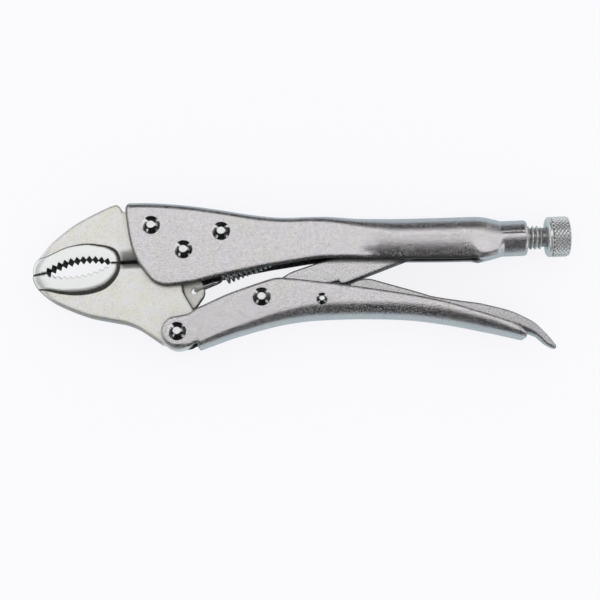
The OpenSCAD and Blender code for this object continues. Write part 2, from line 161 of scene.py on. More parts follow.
print("a curve through 5 points becomes a line of", len(smooth(np.eye(5)[:, :2])), "points")


# %% [markdown]
# ## Nodes written as sums
# Shader and geometry trees are easier to follow as arithmetic than as a list of links. `Socket`
# wraps a node's output, so that `1 - mask` or `grain * 0.3` adds the Math node by itself. Every
# other node comes from `Tree.add`, which takes its type, its settings and its inputs.

# %% Node arithmetic
class Socket:
    """A node's output that takes part in Python sums."""

    def __init__(self, tree, output):
        self.tree = tree
        self.output = output

    def math(self, operation, *inputs):
        return self.tree.add("ShaderNodeMath", {"operation": operation}, dict(enumerate(inputs)))

    def __add__(self, other):
        return self.math("ADD", self, other)

    def __sub__(self, other):
        return self.math("SUBTRACT", self, other)

    def __rsub__(self, other):
        return self.math("SUBTRACT", other, self)

    def __mul__(self, other):
        return self.math("MULTIPLY", self, other)

    def __truediv__(self, other):
        return self.math("DIVIDE", self, other)

    __radd__ = __add__
    __rmul__ = __mul__


# %% Node trees
class Tree:
    """A node tree that is built one call at a time."""

    def __init__(self, nodes):
        self.nodes = nodes

    def add(self, kind, settings=None, inputs=None, output=0):
        node = self.nodes.nodes.new(kind)
        for name, value in (settings or {}).items():
            if name == "stops":
                self.set_stops(node.color_ramp, value)
            else:
                setattr(node, name, value)
        for name, value in (inputs or {}).items():
            if isinstance(value, Socket):
                self.nodes.links.new(value.output, node.inputs[name])
            else:
                node.inputs[name].default_value = value
        return Socket(self, node.outputs[output]) if node.outputs else node

    def set_stops(self, ramp, stops):
        while len(ramp.elements) < len(stops):
            ramp.elements.new(1.0)
        for element, (position, level) in zip(ramp.elements, stops):
            element.position = position
            element.color = (level, level, level, 1)

    def ramp(self, value, *stops):
        """Reads a value off a curve of (position, level) stops."""
        return self.add("ShaderNodeValToRGB", {"stops": stops}, {"Fac": value})

    def mix(self, factor, a, b):
        """Goes from colour a to colour b."""
        inputs = {0: factor, 6: a, 7: b}
        return self.add("ShaderNodeMix", {"data_type": "RGBA"}, inputs, output=2)


# %% [markdown]
# ## From points to a piece
# Every piece ends the same way: its points become a mesh in the frame's metres, with the object at
# the origin, faces pointing outwards, smooth shading that breaks at true edges, one material and
# one body to ride on. Per-point values, such as where the steel is ground bright, travel with the
# mesh as attributes that its material reads.

# %% Make a piece
CREASE = math.radians(38)


def make_mesh(name, points, faces, values=None):
    """A closed mesh with outward faces, from points in tool millimetres."""
    mesh = bpy.data.meshes.new(name)
    mesh.from_pydata(place(points).tolist(), [], [list(face) for face in faces])
    for key, numbers in (values or {}).items():
        layer = mesh.attributes.new(key, "FLOAT", "POINT")
        layer.data.foreach_set("value", np.asarray(numbers, np.float32))
    tidy_mesh(mesh)
    return mesh


def tidy_mesh(mesh):
    """Merges doubles, turns the faces outwards and marks the creases."""
    work = bmesh.new()
    work.from_mesh(mesh)
    bmesh.ops.remove_doubles(work, verts=work.verts, dist=1e-7)
    bmesh.ops.dissolve_degenerate(work, edges=work.edges, dist=1e-8)
    bmesh.ops.recalc_face_normals(work, faces=work.faces)
    work.to_mesh(mesh)
    work.free()
    mesh.shade_smooth()
    mesh.set_sharp_from_angle(angle=CREASE)


def join_meshes(name, meshes):
    """One mesh that holds several closed shells."""
    work = bmesh.new()
    for mesh in meshes:
        work.from_mesh(mesh)
        bpy.data.meshes.remove(mesh)
    joined = bpy.data.meshes.new(name)
    work.to_mesh(joined)
    work.free()
    joined.set_sharp_from_angle(angle=CREASE)
    return joined


# %% [markdown]
# The finished mesh then takes the place of its imported node. It gets its material and its finish,
# and it rides on the body that carries it, so it moves when a joint moves.

# %% Dress a piece
def open_edges(mesh):
    """How many edges don't have exactly two faces, which is 0 for a closed mesh."""
    work = bmesh.new()
    work.from_mesh(mesh)
    count = sum(not edge.is_manifold for edge in work.edges)
    work.free()
    return count


def dress(mesh, node, body, material):
    """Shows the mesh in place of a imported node, on its body and with its finish."""
    piece = bpy.data.objects.new(mesh.name, mesh)
    bpy.context.scene.collection.objects.link(piece)
    mesh.materials.clear()
    mesh.materials.append(material)
    if body:
        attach(piece, body)
    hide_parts(node)
    print(f"{mesh.name}: {len(mesh.polygons)} faces, {open_edges(mesh)} open edges")
    return piece


# %% [markdown]
# ## The floor, the camera and the light
# The tool lies on a pale table and the camera hangs almost straight above it. Polished steel shows
# its surroundings rather than its own colour, so the surroundings are what needs design: a white
# sky, a grey card on the table, and a tent of dark cards over it. Only reflections see the cards.
# The tent's open roof gives the flat faces their light, its walls draw the dark line along every
# bend, and the grey card makes the cool strip where a bend turns down towards the table.

# %% Floor
tool_middle = (cad_low + cad_high) / 2


def stage_mesh(name, points, faces):
    """A plain mesh that belongs to the stage and not to the tool."""
    mesh = bpy.data.meshes.new(name)
    mesh.from_pydata([tuple(point) for point in points], [], faces)
    stage = bpy.data.objects.new(name, mesh)
    bpy.context.scene.collection.objects.link(stage)
    return stage


def level_square(name, half_side, height):
    corners = [(x * half_side, y * half_side, height) for x, y in ((-1, -1), (1, -1), (1, 1), (-1, 1))]
    return stage_mesh(name, corners, [(0, 1, 2, 3)])


def only_for_reflections(stage):
    for ray in ("camera", "diffuse", "shadow", "transmission"):
        setattr(stage, "visible_" + ray, False)


def new_material(name):
    """An empty node material, and the tree that builds it."""
    material = bpy.data.materials.new(name)
    material.use_nodes = True
    material.node_tree.nodes.clear()
    return material, Tree(material.node_tree)


def close_material(tree, shader):
    tree.add("ShaderNodeOutputMaterial", inputs={"Surface": shader})


FLOOR_HALF_SIDE = 6.0
FLOOR_COLOUR = (0.93, 0.93, 0.945, 1)
FLOOR_FIBRE_COLOUR = (0.94, 0.94, 0.95, 1)
FLOOR_GLOW_COLOUR = (0.97, 0.965, 0.995, 1)
FLOOR_GLOW = 0.86

floor = level_square("table_top", FLOOR_HALF_SIDE, cad_low.z)
paper, tree = new_material("pale_paper")
fibre = tree.add("ShaderNodeTexNoise", inputs={"Scale": 9.0, "Detail": 3.0})
matt = tree.add("ShaderNodeBsdfPrincipled", inputs={
    "Base Color": tree.mix(fibre, FLOOR_COLOUR, FLOOR_FIBRE_COLOUR), "Roughness": 0.9})
glow = tree.add("ShaderNodeEmission", inputs={"Color": FLOOR_GLOW_COLOUR, "Strength": 1.0})
rays = [tree.add("ShaderNodeLightPath", output=kind) for kind in (
    "Is Camera Ray", "Is Glossy Ray", "Is Transmission Ray")]
seen = rays[0].math("MAXIMUM", rays[0], rays[1].math("MAXIMUM", rays[1], rays[2]))
close_material(tree, tree.add("ShaderNodeMixShader", inputs={0: seen * FLOOR_GLOW, 1: matt, 2: glow}))
floor.data.materials.append(paper)
print("floor at z =", round(cad_low.z * 1000, 2), "mm")

# %% Camera
CAMERA_TILT = 7.5
CAMERA_TURN = -2.3
CAMERA_DISTANCE = 0.670
FOCAL_LENGTH = 86.46
AIM_OFFSET = Vector((-1.7, -10.0, 0)) * MM

lens = bpy.data.cameras.new("view_camera")
lens.lens = FOCAL_LENGTH
lens.sensor_width = 36.0
camera = bpy.data.objects.new("view_camera", lens)
bpy.context.scene.collection.objects.link(camera)
camera.rotation_euler = (math.radians(CAMERA_TILT), 0, math.radians(CAMERA_TURN))
sight = camera.rotation_euler.to_matrix() @ Vector((0, 0, 1))
camera.location = tool_middle + AIM_OFFSET + sight * CAMERA_DISTANCE * (MM / 0.001)
bpy.context.scene.camera = camera
bpy.context.scene.view_settings.view_transform = "Standard"
print("camera height:", round(camera.location.z, 3), "m")

# %% Sky
world = bpy.data.worlds.new("white_sky")
world.use_nodes = True
world.node_tree.nodes.clear()
tree = Tree(world.node_tree)
sky = tree.add("ShaderNodeBackground", inputs={"Color": (1, 1, 1, 1), "Strength": 1.0})
tree.add("ShaderNodeOutputWorld", inputs={"Surface": sky})
bpy.context.scene.world = world

# %% [markdown]
# ## The tent
# The tent is a half sphere of small cells, and a rule says which of them are closed. It stays open
# at the roof, low down at both ends, and in four small windows at the corners of the view. The
# windows are what gives every rivet its four glints.

# %% Tent of dark cards
TENT_RADIUS = 1.6
TENT_TILTS = 90
TENT_TURNS = 180
ROOF_FRONT = -2.0
ROOF_BACK = 31.0
ROOF_SIDE = 44.0
WINDOW_TILT = 55.0
WINDOW_HALF_HEIGHT = 2.6
WINDOW_HALF_WIDTH = 9.1
END_OPENING_TILT = 63.0
END_OPENING_TURN = 38.0


def direction(tilt, turn):
    """The way to a place of the sky: tilt from straight up and turn from X, both in degrees."""
    tilt = math.radians(tilt)
    turn = math.radians(turn)
    return Vector((math.sin(tilt) * math.cos(turn), math.sin(tilt) * math.sin(turn), math.cos(tilt)))


def is_card(tilt, turn):
    """Whether the tent is closed in this direction."""
    way = direction(tilt, turn)
    side = math.degrees(math.atan2(way.x, way.z))
    back = math.degrees(math.atan2(way.y, way.z))
    roof = ROOF_FRONT < back < ROOF_BACK and abs(side) < ROOF_SIDE
    seen = Matrix.Rotation(math.radians(CAMERA_TILT), 3, "X") @ way
    from_corner = math.degrees(math.atan2(seen.y, seen.x)) % 90 - 45
    from_window = math.degrees(math.acos(seen.z)) - WINDOW_TILT
    window = abs(from_window) < WINDOW_HALF_HEIGHT and abs(from_corner) < WINDOW_HALF_WIDTH
    end = tilt > END_OPENING_TILT and abs(turn % 180 - 90) > END_OPENING_TURN
    return not roof and not window and not end


tilt_step = 90 / TENT_TILTS
turn_step = 360 / TENT_TURNS
tent_points = [
    tool_middle + TENT_RADIUS * direction(row * tilt_step, i * turn_step)
    for row in range(TENT_TILTS + 1) for i in range(TENT_TURNS)]
tent_faces = []
for row in range(TENT_TILTS):
    for i in range(TENT_TURNS):
        if is_card((row + 0.5) * tilt_step, (i + 0.5) * turn_step):
            here = row * TENT_TURNS
            after = (i + 1) % TENT_TURNS
            tent_faces.append((here + i, here + after, here + TENT_TURNS + after, here + TENT_TURNS + i))
tent = stage_mesh("dark_tent", tent_points, tent_faces)
only_for_reflections(tent)
cards, tree = new_material("dark_cards")
height = tree.add("ShaderNodeSeparateXYZ", inputs={
    "Vector": tree.add("ShaderNodeTexCoord", output="Object")}, output="Z")
level = tree.ramp(height / TENT_RADIUS, (0.0, 0.05), (0.12, 0.02), (0.35, 0.01), (1.0, 0.01))
close_material(tree, tree.add("ShaderNodeEmission", inputs={"Color": level, "Strength": 1.0}))
tent.data.materials.append(cards)
print("tent:", len(tent_faces), "dark cells")

# %% Grey card
CARD_HALF_SIDE = 1.5
CARD_LIFT = 0.05
CARD_COLOUR = (0.46, 0.54, 0.57, 1)

grey_card = level_square("grey_card", CARD_HALF_SIDE, cad_low.z + CARD_LIFT * MM)
only_for_reflections(grey_card)
card, tree = new_material("grey_card")
close_material(tree, tree.add("ShaderNodeEmission", inputs={"Color": CARD_COLOUR, "Strength": 1.0}))
grey_card.data.materials.append(card)
print("grey card:", round(2 * CARD_HALF_SIDE, 1), "m square")

# %% [markdown]
# ## Six finishes
# All of it is steel, yet no two kinds of piece are finished alike. The handles are barrel plated: a
# light grey with a trace of lilac, over the grain of the rolled sheet. The forged jaws carry the
# same plating over a rougher, slightly yellowed skin, and their pads are ground bright. Rivets are
# polished, the link and lever are dull cut plate, and screw, knob and spring are bare wire and bar.
#
# Plating isn't a perfect mirror. Small dull flecks in it scatter light instead of reflecting it.
# They hardly show on a flat that reflects the sky, and they speckle every bend that turns dark.
# Painted shade is a matt black of its own, mixed in wherever a piece asks for it: on the walls of
# the bite, up steps, in slots and grooves and along rims, where shade would fall.

# %% Steel
PAINTED_SHADE_COLOUR = (0.030, 0.030, 0.028, 1)
SHADOW_INSIDE = 0.22
PIT_SHADE = 0.45
SPECK_SHADE = 0.55


def shade(colour, level=1.0):
    """A colour with an alpha of 1, made darker by a level under 1."""
    return (*(level * part for part in colour), 1)


def steel(name, colour, cast, roughness, grain, grain_size, mottle_size=9.0, metal=1.0,
          flecks=0.0, pits=0.0, layer=None):
    """Plated or bare steel that goes in soft clouds from one colour to a second one, the cast.

    Sizes are in tool millimetres and grain is the height of the relief. layer is an optional
    (mask name, colour, roughness, metal) that lies on top where the mask is 1.
    """
    material, tree = new_material(name)
    spot = tree.add("ShaderNodeTexCoord", output="Object")

    def noise(size_mm, detail=2.0, roughness=0.5):
        inputs = {"Vector": spot, "Scale": 1 / (size_mm * MM), "Detail": detail, "Roughness": roughness}
        return tree.add("ShaderNodeTexNoise", inputs=inputs)

    def value_of(attribute):
        return tree.add("ShaderNodeAttribute", {"attribute_name": attribute}, output="Fac")

    clouds = tree.ramp(noise(mottle_size, 3.0), (0.35, 0.0), (0.65, 1.0))
    speckle = tree.ramp(noise(grain_size * 1.2, 1.0), (0.38, 0.0), (0.62, 1.0))
    dull = tree.ramp(noise(grain_size * 1.3, 1.0), (0.50, 0.0), (0.62, 1.0))
    pitted = tree.ramp(noise(0.9, 5.0, 0.7), (0.30, 1.0), (0.50, 0.0))
    base = tree.mix(clouds, shade(colour), shade(cast))
    base = tree.mix(speckle * 0.10, base, shade(colour, SPECK_SHADE))
    base = tree.mix(pitted * pits, base, shade(colour, PIT_SHADE))
    rough = roughness + clouds * 0.05 + speckle * 0.05
    relief = noise(grain_size, 2.0, 0.6) + noise(grain_size * 2.5, 2.0) * 0.4
    share = metal - dull * flecks
    if layer:
        mask_name, layer_colour, layer_roughness, layer_metal = layer
        mask = tree.ramp(value_of(mask_name), (0.35, 0.0), (0.65, 1.0))
        base = tree.mix(mask, base, shade(layer_colour))
        rough = rough * (1 - mask) + layer_roughness * mask
        relief = relief * (1 - mask * 0.85)
        share = share * (1 - mask) + layer_metal * mask
    base = tree.mix(value_of("inner"), base, shade(colour, SHADOW_INSIDE))
    # Painted shade: the steel turns towards a matt black where a piece asks for shade in recesses, on
    # steps, in slots and along rims.
    shade_noise = tree.ramp(noise(0.5, 2.0), (0.35, 0.0), (0.65, 1.0))
    soot = value_of("soot") * (0.92 + shade_noise * 0.08)
    bump = tree.add("ShaderNodeBump", inputs={
        "Height": relief, "Distance": grain * MM, "Strength": 1.0})
    bare = tree.add("ShaderNodeBsdfPrincipled", inputs={
        "Base Color": base, "Metallic": share, "Roughness": rough, "Normal": bump})
    painted_dark = tree.add("ShaderNodeBsdfPrincipled", inputs={
        "Base Color": PAINTED_SHADE_COLOUR, "Roughness": 0.9, "Specular IOR Level": 0.0})
    close_material(tree, tree.add("ShaderNodeMixShader", inputs={0: soot, 1: bare, 2: painted_dark}))
    return material


# %% The six finishes
plated_sheet = steel(
    "plated_sheet", (0.785, 0.755, 0.795), (0.805, 0.790, 0.780), roughness=0.18,
    grain=0.125, grain_size=0.45, mottle_size=7.0, metal=0.97, flecks=0.22)
forged_plate = steel(
    "forged_plate", (0.950, 0.945, 0.955), (0.965, 0.945, 0.850), roughness=0.29,
    grain=0.095, grain_size=0.40, mottle_size=5.0, metal=0.75, flecks=0.18, pits=0.34,
    layer=("ground", (0.96, 0.98, 0.97), 0.34, 0.70))
cut_plate = steel(
    "cut_plate", (0.750, 0.730, 0.770), (0.775, 0.765, 0.755), roughness=0.20,
    grain=0.110, grain_size=0.42, mottle_size=5.0, metal=0.95, flecks=0.16, pits=0.10)
bright_rivet = steel(
    "bright_rivet", (0.76, 0.76, 0.765), (0.80, 0.80, 0.80), roughness=0.11,
    grain=0.004, grain_size=0.6)
screw_steel = steel(
    "screw_steel", (0.80, 0.81, 0.82), (0.85, 0.85, 0.85), roughness=0.20,
    grain=0.012, grain_size=0.35, metal=0.7)
spring_wire = steel(
    "spring_wire", (0.80, 0.80, 0.80), (0.85, 0.85, 0.84), roughness=0.10,
    grain=0.004, grain_size=0.4, metal=0.95)
finishes = (plated_sheet, forged_plate, cut_plate, bright_rivet, screw_steel, spring_wire)
print("finishes:", ", ".join(finish.name for finish in finishes))

# %% [markdown]
# ## Outlines
# A press cuts every flat blank along an outline, so the first helpers answer questions about closed
# lines: which way in the material lies, how far a point is from the line, and whether it is inside.

# %% Outlines
SHORTEST_STEP = 0.08


def turned_left(loop):
    """The loop, running with its material on the left."""
    after = np.roll(loop, -1, 0)
    area = np.sum(loop[:, 0] * after[:, 1] - after[:, 0] * loop[:, 1])
    return loop if area > 0 else loop[::-1]


def spread(loop, step):
    """The same closed loop with points at most one step apart, keeping its corners."""
    loop = loop[np.linalg.norm(loop - np.roll(loop, 1, 0), axis=1) > SHORTEST_STEP]
    result = []
    for a, b in zip(loop, np.roll(loop, -1, 0)):
        count = int(np.ceil(np.linalg.norm(b - a) / step - 1e-6))
        result.extend(a + (b - a) * i / count for i in range(count))
    return np.array(result)


def inward(loop):
    """For each point of a loop, the way into the material, lengthened at corners."""
    along = np.roll(loop, -1, 0) - loop
    along = along / np.linalg.norm(along, axis=1)[:, None]
    normal = np.column_stack([-along[:, 1], along[:, 0]])
    joint = normal + np.roll(normal, 1, 0)
    return 2 * joint / np.maximum(np.sum(joint * joint, axis=1), 0.8)[:, None]


def distance(points, line, closed=True):
    """How far each point lies from a line."""
    a = line if closed else line[:-1]
    run = (np.roll(line, -1, 0) if closed else line[1:]) - a
    length = np.maximum(np.sum(run * run, axis=1), 1e-12)
    nearest = np.full(len(points), np.inf)
    for part in range(0, len(points), 2000):
        p = points[part:part + 2000, None, :]
        t = np.clip(np.sum((p - a) * run, axis=2) / length, 0, 1)
        gap = p - (a + t[:, :, None] * run)
        nearest[part:part + 2000] = np.sqrt(np.sum(gap * gap, axis=2)).min(axis=1)
    return nearest


def inside(points, loop):
    """Which points a closed loop encloses."""
    x, y = points[:, :1], points[:, 1:]
    a, b = loop, np.roll(loop, -1, 0)
    spans = (a[:, 1] > y) != (b[:, 1] > y)
    rise = np.where(b[:, 1] == a[:, 1], 1e-12, b[:, 1] - a[:, 1])
    crossing = a[:, 0] + (y - a[:, 1]) * (b[:, 0] - a[:, 0]) / rise
    return np.sum(spans & (x < crossing), axis=1) % 2 == 1


def closed_line(loop):
    return np.vstack([loop, loop[:1]])


# %% [markdown]
# ## Points for a blank
# A blank only bends well where it has points to bend at. These helpers lay rows of points beside a
# line, even grids, and rows along a rim, and thin out whatever comes too close together.

# %% Points for a blank
def settle_points(rows, gap):
    """The points in order, leaving out any that comes too close to one before it."""
    kept = {}
    result = []
    for point in rows:
        cell = tuple(np.floor(point / gap).astype(int))
        near = [kept.get((cell[0] + i, cell[1] + j)) for i in (-1, 0, 1) for j in (-1, 0, 1)]
        if all(other is None or np.hypot(*(point - other)) > gap for other in near):
            kept[cell] = point
            result.append(point)
    return np.array(result)


def beside(line, gaps, step=0.45):
    """Rows of points at the given distances on the left of an open line."""
    run = np.linalg.norm(np.diff(line, axis=0), axis=1)
    at = np.concatenate([[0], np.cumsum(run)])
    where = np.arange(0, at[-1], step)
    dense = np.column_stack([np.interp(where, at, line[:, 0]), np.interp(where, at, line[:, 1])])
    way = np.gradient(dense, axis=0)
    way = way / np.linalg.norm(way, axis=1)[:, None]
    left = np.column_stack([-way[:, 1], way[:, 0]])
    return np.vstack([dense + left * gap for gap in gaps])


def with_roll(fill, outline, gap=0.35):
    """Adds rows of points along the rim to a fill, for the roll of the edge."""
    rows = beside(closed_line(turned_left(outline)), [0.62, 0.9, 1.25, 1.7], 0.7)
    return settle_points(np.vstack([rows, fill]), gap)


def grid(x_low, x_high, y_low, y_high, step):
    """Points in staggered rows over a rectangle."""
    rows = []
    for i, y in enumerate(np.arange(y_low, y_high, step * 0.87)):
        xs = np.arange(x_low + (i % 2) * step / 2, x_high, step)
        rows.append(np.column_stack([xs, np.full(len(xs), y)]))
    return np.vstack(rows)


print("a 10 x 10 mm grid at 1 mm has", len(grid(0, 10, 0, 10, 1.0)), "points")


# %% [markdown]
# ## Stamping a piece
# A press works in two steps: it cuts a flat blank, then folds it. `stamp` does the same. It takes
# the outline of the blank, rounds its rim, fills it with triangles, and hands every point to a fold
# rule that says where it ends up in space. The handles fold round into channels, while for a flat
# plate or a forging the rule only says how thick the steel is at that place. The cut also draws the
# surface down a little beside the rim, which is the soft dark line round every stamped piece. On
# some pieces a dark line of painted shade along the rim makes it darker still.

# %% Triangles of a blank
def triangles_between(points, loops):
    """Triangles over the points, inside the first loop and outside the others.

    The points start with those of the loops, in order. They are rounded as the triangulation
    rounds them, so that a triangle on a straight stretch of a loop falls on the right side of it.
    """
    points = points.astype(np.float32).astype(float)
    ends = np.cumsum([0] + [len(loop) for loop in loops])
    edges = []
    for start, end in zip(ends, ends[1:]):
        edges += [(i, i + 1 if i + 1 < end else start) for i in range(start, end)]
    result = delaunay_2d_cdt([Vector(p) for p in points], edges, [], 1, 1e-7, True)
    origin = np.array([
        ids[0] if ids else np.argmin(np.hypot(*(points - np.array(made)).T))
        for ids, made in zip(result[3], result[0])])
    triangles = origin[np.array(result[2])]
    middles = points[triangles].mean(axis=1)
    outer, *holes = [points[start:end] for start, end in zip(ends, ends[1:])]
    steel_there = inside(middles, outer)
    for hole in holes:
        steel_there &= ~inside(middles, hole)
    return triangles[steel_there]


# %% The press
RIM_STEPS = 4
LAYER_GAP = 1e-9


def stamp(name, outline, fold, rim, fill, spacing=0.9, holes=(), masks=None, hidden_side=False,
          roll=None, dark_rim=None):
    """Cuts a blank, rounds its rim, fills it with points and folds it into a closed mesh.

    masks are rules for values that the material reads, by name. A hidden side gets painted shade,
    as the inside of a channel. roll is an optional (line, width, drop): near that line the press
    has drawn the surface down. dark_rim is an optional (width, strength) of a dark line of painted
    shade along the rim.
    """
    outline = turned_left(outline)
    loops = [outline] + [turned_left(hole)[::-1] for hole in holes]
    last = [loop + inward(loop) * rim for loop in loops]
    fill = np.asarray(fill, float).reshape(-1, 2)
    keep = inside(fill, last[0]) & (distance(fill, last[0]) > 0.5 * spacing)
    for hole in last[1:]:
        keep &= ~inside(fill, hole) & (distance(fill, hole) > 0.5 * spacing)
    fill = fill[keep]

    blank = []
    depth = []
    faces = []

    def lay(points, below):
        blank.append(points)
        depth.append(np.broadcast_to(below, len(points)))
        first = sum(len(part) for part in blank[:-1])
        return np.arange(first, first + len(points))

    def strip(a, b):
        faces.extend(zip(a, np.roll(a, -1), np.roll(b, -1), b))

    angles = np.radians(np.linspace(0, 90, RIM_STEPS + 1))
    edges = []
    flats = []
    for side in (1, -1):
        edge = []
        flat = []
        for loop in loops:
            rings = [
                lay(loop + inward(loop) * (rim * (1 - math.cos(a))),
                    side * (rim * (1 - math.sin(a)) + LAYER_GAP))
                for a in angles
            ]
            for near, far in zip(rings, rings[1:]):
                strip(near, far)
            edge.append(rings[0])
            flat.append(rings[-1])
        flat.append(lay(fill, side * LAYER_GAP))
        edges.append(edge)
        flats.append(np.concatenate(flat))
    for one, other in zip(*edges):
        strip(one, other)
    triangles = triangles_between(np.vstack(last + [fill]), last)
    for flat in flats:
        faces.extend(flat[triangles])

    blank = np.vstack(blank)
    depth = np.concatenate(depth)
    values = {key: mask(blank) for key, mask in (masks or {}).items()}
    # A dark line of painted shade along the rim.
    if dark_rim:
        width, strength = dark_rim
        line = strength * np.clip(1.3 - distance(blank, outline) / width, 0, 1)
        values["soot"] = np.maximum(values.get("soot", 0), line)
    values["inner"] = np.where(depth < 0, 1.0, 0.0) * hidden_side
    if roll:
        line, width, drop = roll
        near = np.clip(1 - distance(blank, line, False) / width, 0, 1)
        depth = depth + np.sign(depth) * np.where((depth > 0) | (not hidden_side), drop * near**2, 0)
    return make_mesh(name, fold(blank, np.abs(depth), np.sign(depth)), faces, values)


# %% [markdown]
# Smooth shading gives each corner the mean direction of the faces that meet there. On a stamped
# piece the small faces of the rim would tilt the light on the large flat ones beside them, so the
# mean is weighted by the area of the faces.

# %% Even shading
def taken(holder):
    """The finished mesh of a helper object, which is then removed."""
    graph = bpy.context.evaluated_depsgraph_get()
    result = bpy.data.meshes.new_from_object(
        holder.evaluated_get(graph), preserve_all_data_layers=True, depsgraph=graph)
    name = holder.name.replace("_holder", "")
    blank = holder.data
    bpy.data.objects.remove(holder)
    bpy.data.meshes.remove(blank)
    result.name = name
    return result


def evened(mesh):
    """Shades large faces flat and lets small ones turn, as a ground or rolled face looks."""
    holder = bpy.data.objects.new(mesh.name + "_holder", mesh)
    bpy.context.scene.collection.objects.link(holder)
    weighting = holder.modifiers.new("even_shading", "WEIGHTED_NORMAL")
    weighting.keep_sharp = True
    return taken(holder)


# %% [markdown]
# ## Channels
# Both handles and the release lever are strips folded lengthwise. Across such a channel lie a flat
# back, a bend and a side. Only a few sizes change along it: where the back and the open edge run,
# how round the bend is, how wide the channel is, and how far its sides lean in. `Channel` holds
# those rules and works out any point of the folded sheet from its place on the flat strip.

# %% Channel
class Channel:
    """A folded strip. Its blank is measured along X and across from the middle of the back."""

    def __init__(self, up, sheet, back, bend, wide, lean, edge):
        self.up = up
        self.sheet = sheet
        self.back = back
        self.bend = bend
        self.wide = wide
        self.lean = lean
        self.edge = edge
        self.curl = self.curl_bend = self.closed = steady(0)

    def sizes(self, x):
        """Half the back, the bend, the lean, the side, the curl under it and the run inwards."""
        lean = np.radians(self.lean(x))
        curl = np.radians(self.curl(x))
        bend = self.bend(x)
        flat = self.wide(x) - bend
        low = (self.back(x) - self.edge(x)) * self.up - bend * (1 + np.sin(lean))
        under = self.curl_bend(x)
        side = np.maximum(low - under * (np.sin(lean + curl) - np.sin(lean)), 0) / np.cos(lean)
        left = flat + bend * np.cos(lean) - side * np.sin(lean)
        left = left - under * (np.cos(lean) - np.cos(lean + curl))
        return flat, bend, lean, side, under, curl, np.maximum(left, 0) * self.closed(x)

    def ends(self, x):
        """Where on the strip the bend, the side, the curl and the run each end."""
        flat, bend, lean, side, under, curl, run = self.sizes(x)
        to_side = flat + bend * (np.pi / 2 + lean)
        to_curl = to_side + side
        to_run = to_curl + under * curl
        return flat, to_side, to_curl, to_run, to_run + run

    def reach(self, x):
        """How far the strip goes, from the middle of the back to its edge."""
        return self.ends(x)[-1]

    def across(self, x, y):
        """The place on the strip of a point of the side that is seen at y."""
        _, bend, lean, *_ = self.sizes(x)
        low = (self.back(x) - y) * self.up - bend * (1 + np.sin(lean))
        return self.ends(x)[1] + low / np.cos(lean)

    def fold(self, blank, depth, side):
        x = blank[:, 0]
        s = np.abs(blank[:, 1])
        flat, bend, lean, _, under, curl, _ = self.sizes(x)
        _, to_side, to_curl, to_run, _ = self.ends(x)
        deep = np.where(side > 0, depth, self.sheet(x) - depth)
        z = np.minimum(s, flat)
        y = -bend
        turn = np.clip((s - flat) / bend, 0, np.pi / 2 + lean)
        z = z + bend * np.sin(turn)
        y = y + bend * np.cos(turn)
        straight_part = np.clip(s - to_side, 0, to_curl - to_side)
        z = z + straight_part * np.cos(turn)
        y = y - straight_part * np.sin(turn)
        more = np.clip((s - to_curl) / np.maximum(under, 1e-6), 0, curl)
        z = z + under * (np.sin(turn + more) - np.sin(turn))
        y = y + under * (np.cos(turn + more) - np.cos(turn))
        turn = turn + more
        beyond = np.maximum(s - to_run, 0)
        z = z + beyond * np.cos(turn) - deep * np.sin(turn)
        y = y - beyond * np.sin(turn) - deep * np.cos(turn)
        return np.column_stack([x, self.back(x) + self.up * y, np.sign(blank[:, 1]) * z])

    def points(self, stations, counts):
        """Points of the strip in rows that follow its folds."""
        rows = []
        for x in stations:
            marks = [0.0] + [float(end) for end in self.ends(x)]
            parts = zip(marks, marks[1:], counts)
            s = [np.linspace(a, b, count, endpoint=False) for a, b, count in parts]
            s = np.concatenate(s + [marks[-1:]])
            s = np.concatenate([-s[:0:-1], s])
            rows.append(np.column_stack([np.full(len(s), x), s]))
        return settle_points(np.vstack(rows), 0.2)


def both_halves(half):
    """A closed outline from the half of it on one side of the middle."""
    mirrored = half[::-1] * [1, -1]
    return np.vstack([half, mirrored])


# %% [markdown]
# ## The fixed handle
# One strip of 2.4 mm sheet makes the whole upper half of the tool. At the jaws it is a flat-sided
# channel, cut away in a long curve. Behind the pivots its back grows round and its sides lean in,
# and at the tail they close into a tube that takes the screw. The edges meet underneath, in a seam.
#
# Two lines of points, one along the back and one along the open edge, give the side view. The other
# rules say how that side is bent. They change with X alone, so the strip stays one smooth sheet.

# %% Rules of the fixed handle
SHEET = 2.4
SCREW_Y = 0.4
TUBE_RADIUS = 8.3
TUBE_END = 159.6
SHOULDER = 147.2

fixed_back = track([
    [-28, 23.3], [-13.4, 22.7], [1.6, 21.0], [16.7, 18.4], [31.7, 15.4], [45.1, 13.5], [58, 13.3],
    [68, 13.1], [80, 12.0], [96.5, 11.6], [118, 11.3], [134, 11.2], [139, 10.9], [143, 10.1],
    [SHOULDER - 0.5, 9.1], [SHOULDER, 8.7], [TUBE_END + 1, 8.7]])
fixed_edge_line = np.array([
    [-16.3, -12.4], [-14.4, -14.4], [-11.6, -15.8], [-6.9, -16.6], [4.8, -15.4], [15.8, -13.1],
    [30.5, -10.6], [40, -9.1], [49, -8.0], [58, -6.9], [66, -6.5], [80, -6.9], [96, -8.1],
    [118, -9.0], [134, -9.3], [140, -9.1], [144, -8.3], [SHOULDER, -7.9], [155, -7.9], [163, -7.9]])
fixed_edge = track(fixed_edge_line)
fixed_bend = straight([
    [-28, 3.2], [60, 3.2], [76, 4.6], [98, 8.1], [134, 8.4], [143, 8.6], [SHOULDER - 0.6, 8.6],
    [SHOULDER, TUBE_RADIUS], [165, TUBE_RADIUS]])


def fixed_wide(x):
    return half_handle - 0.5 * ease(x, 139, SHOULDER)


def fixed_lean(x):
    return 3.0 * ease(x, 80, 92) - 4.5 * ease(x, 130, 139) + 1.5 * ease(x, 142, 148)


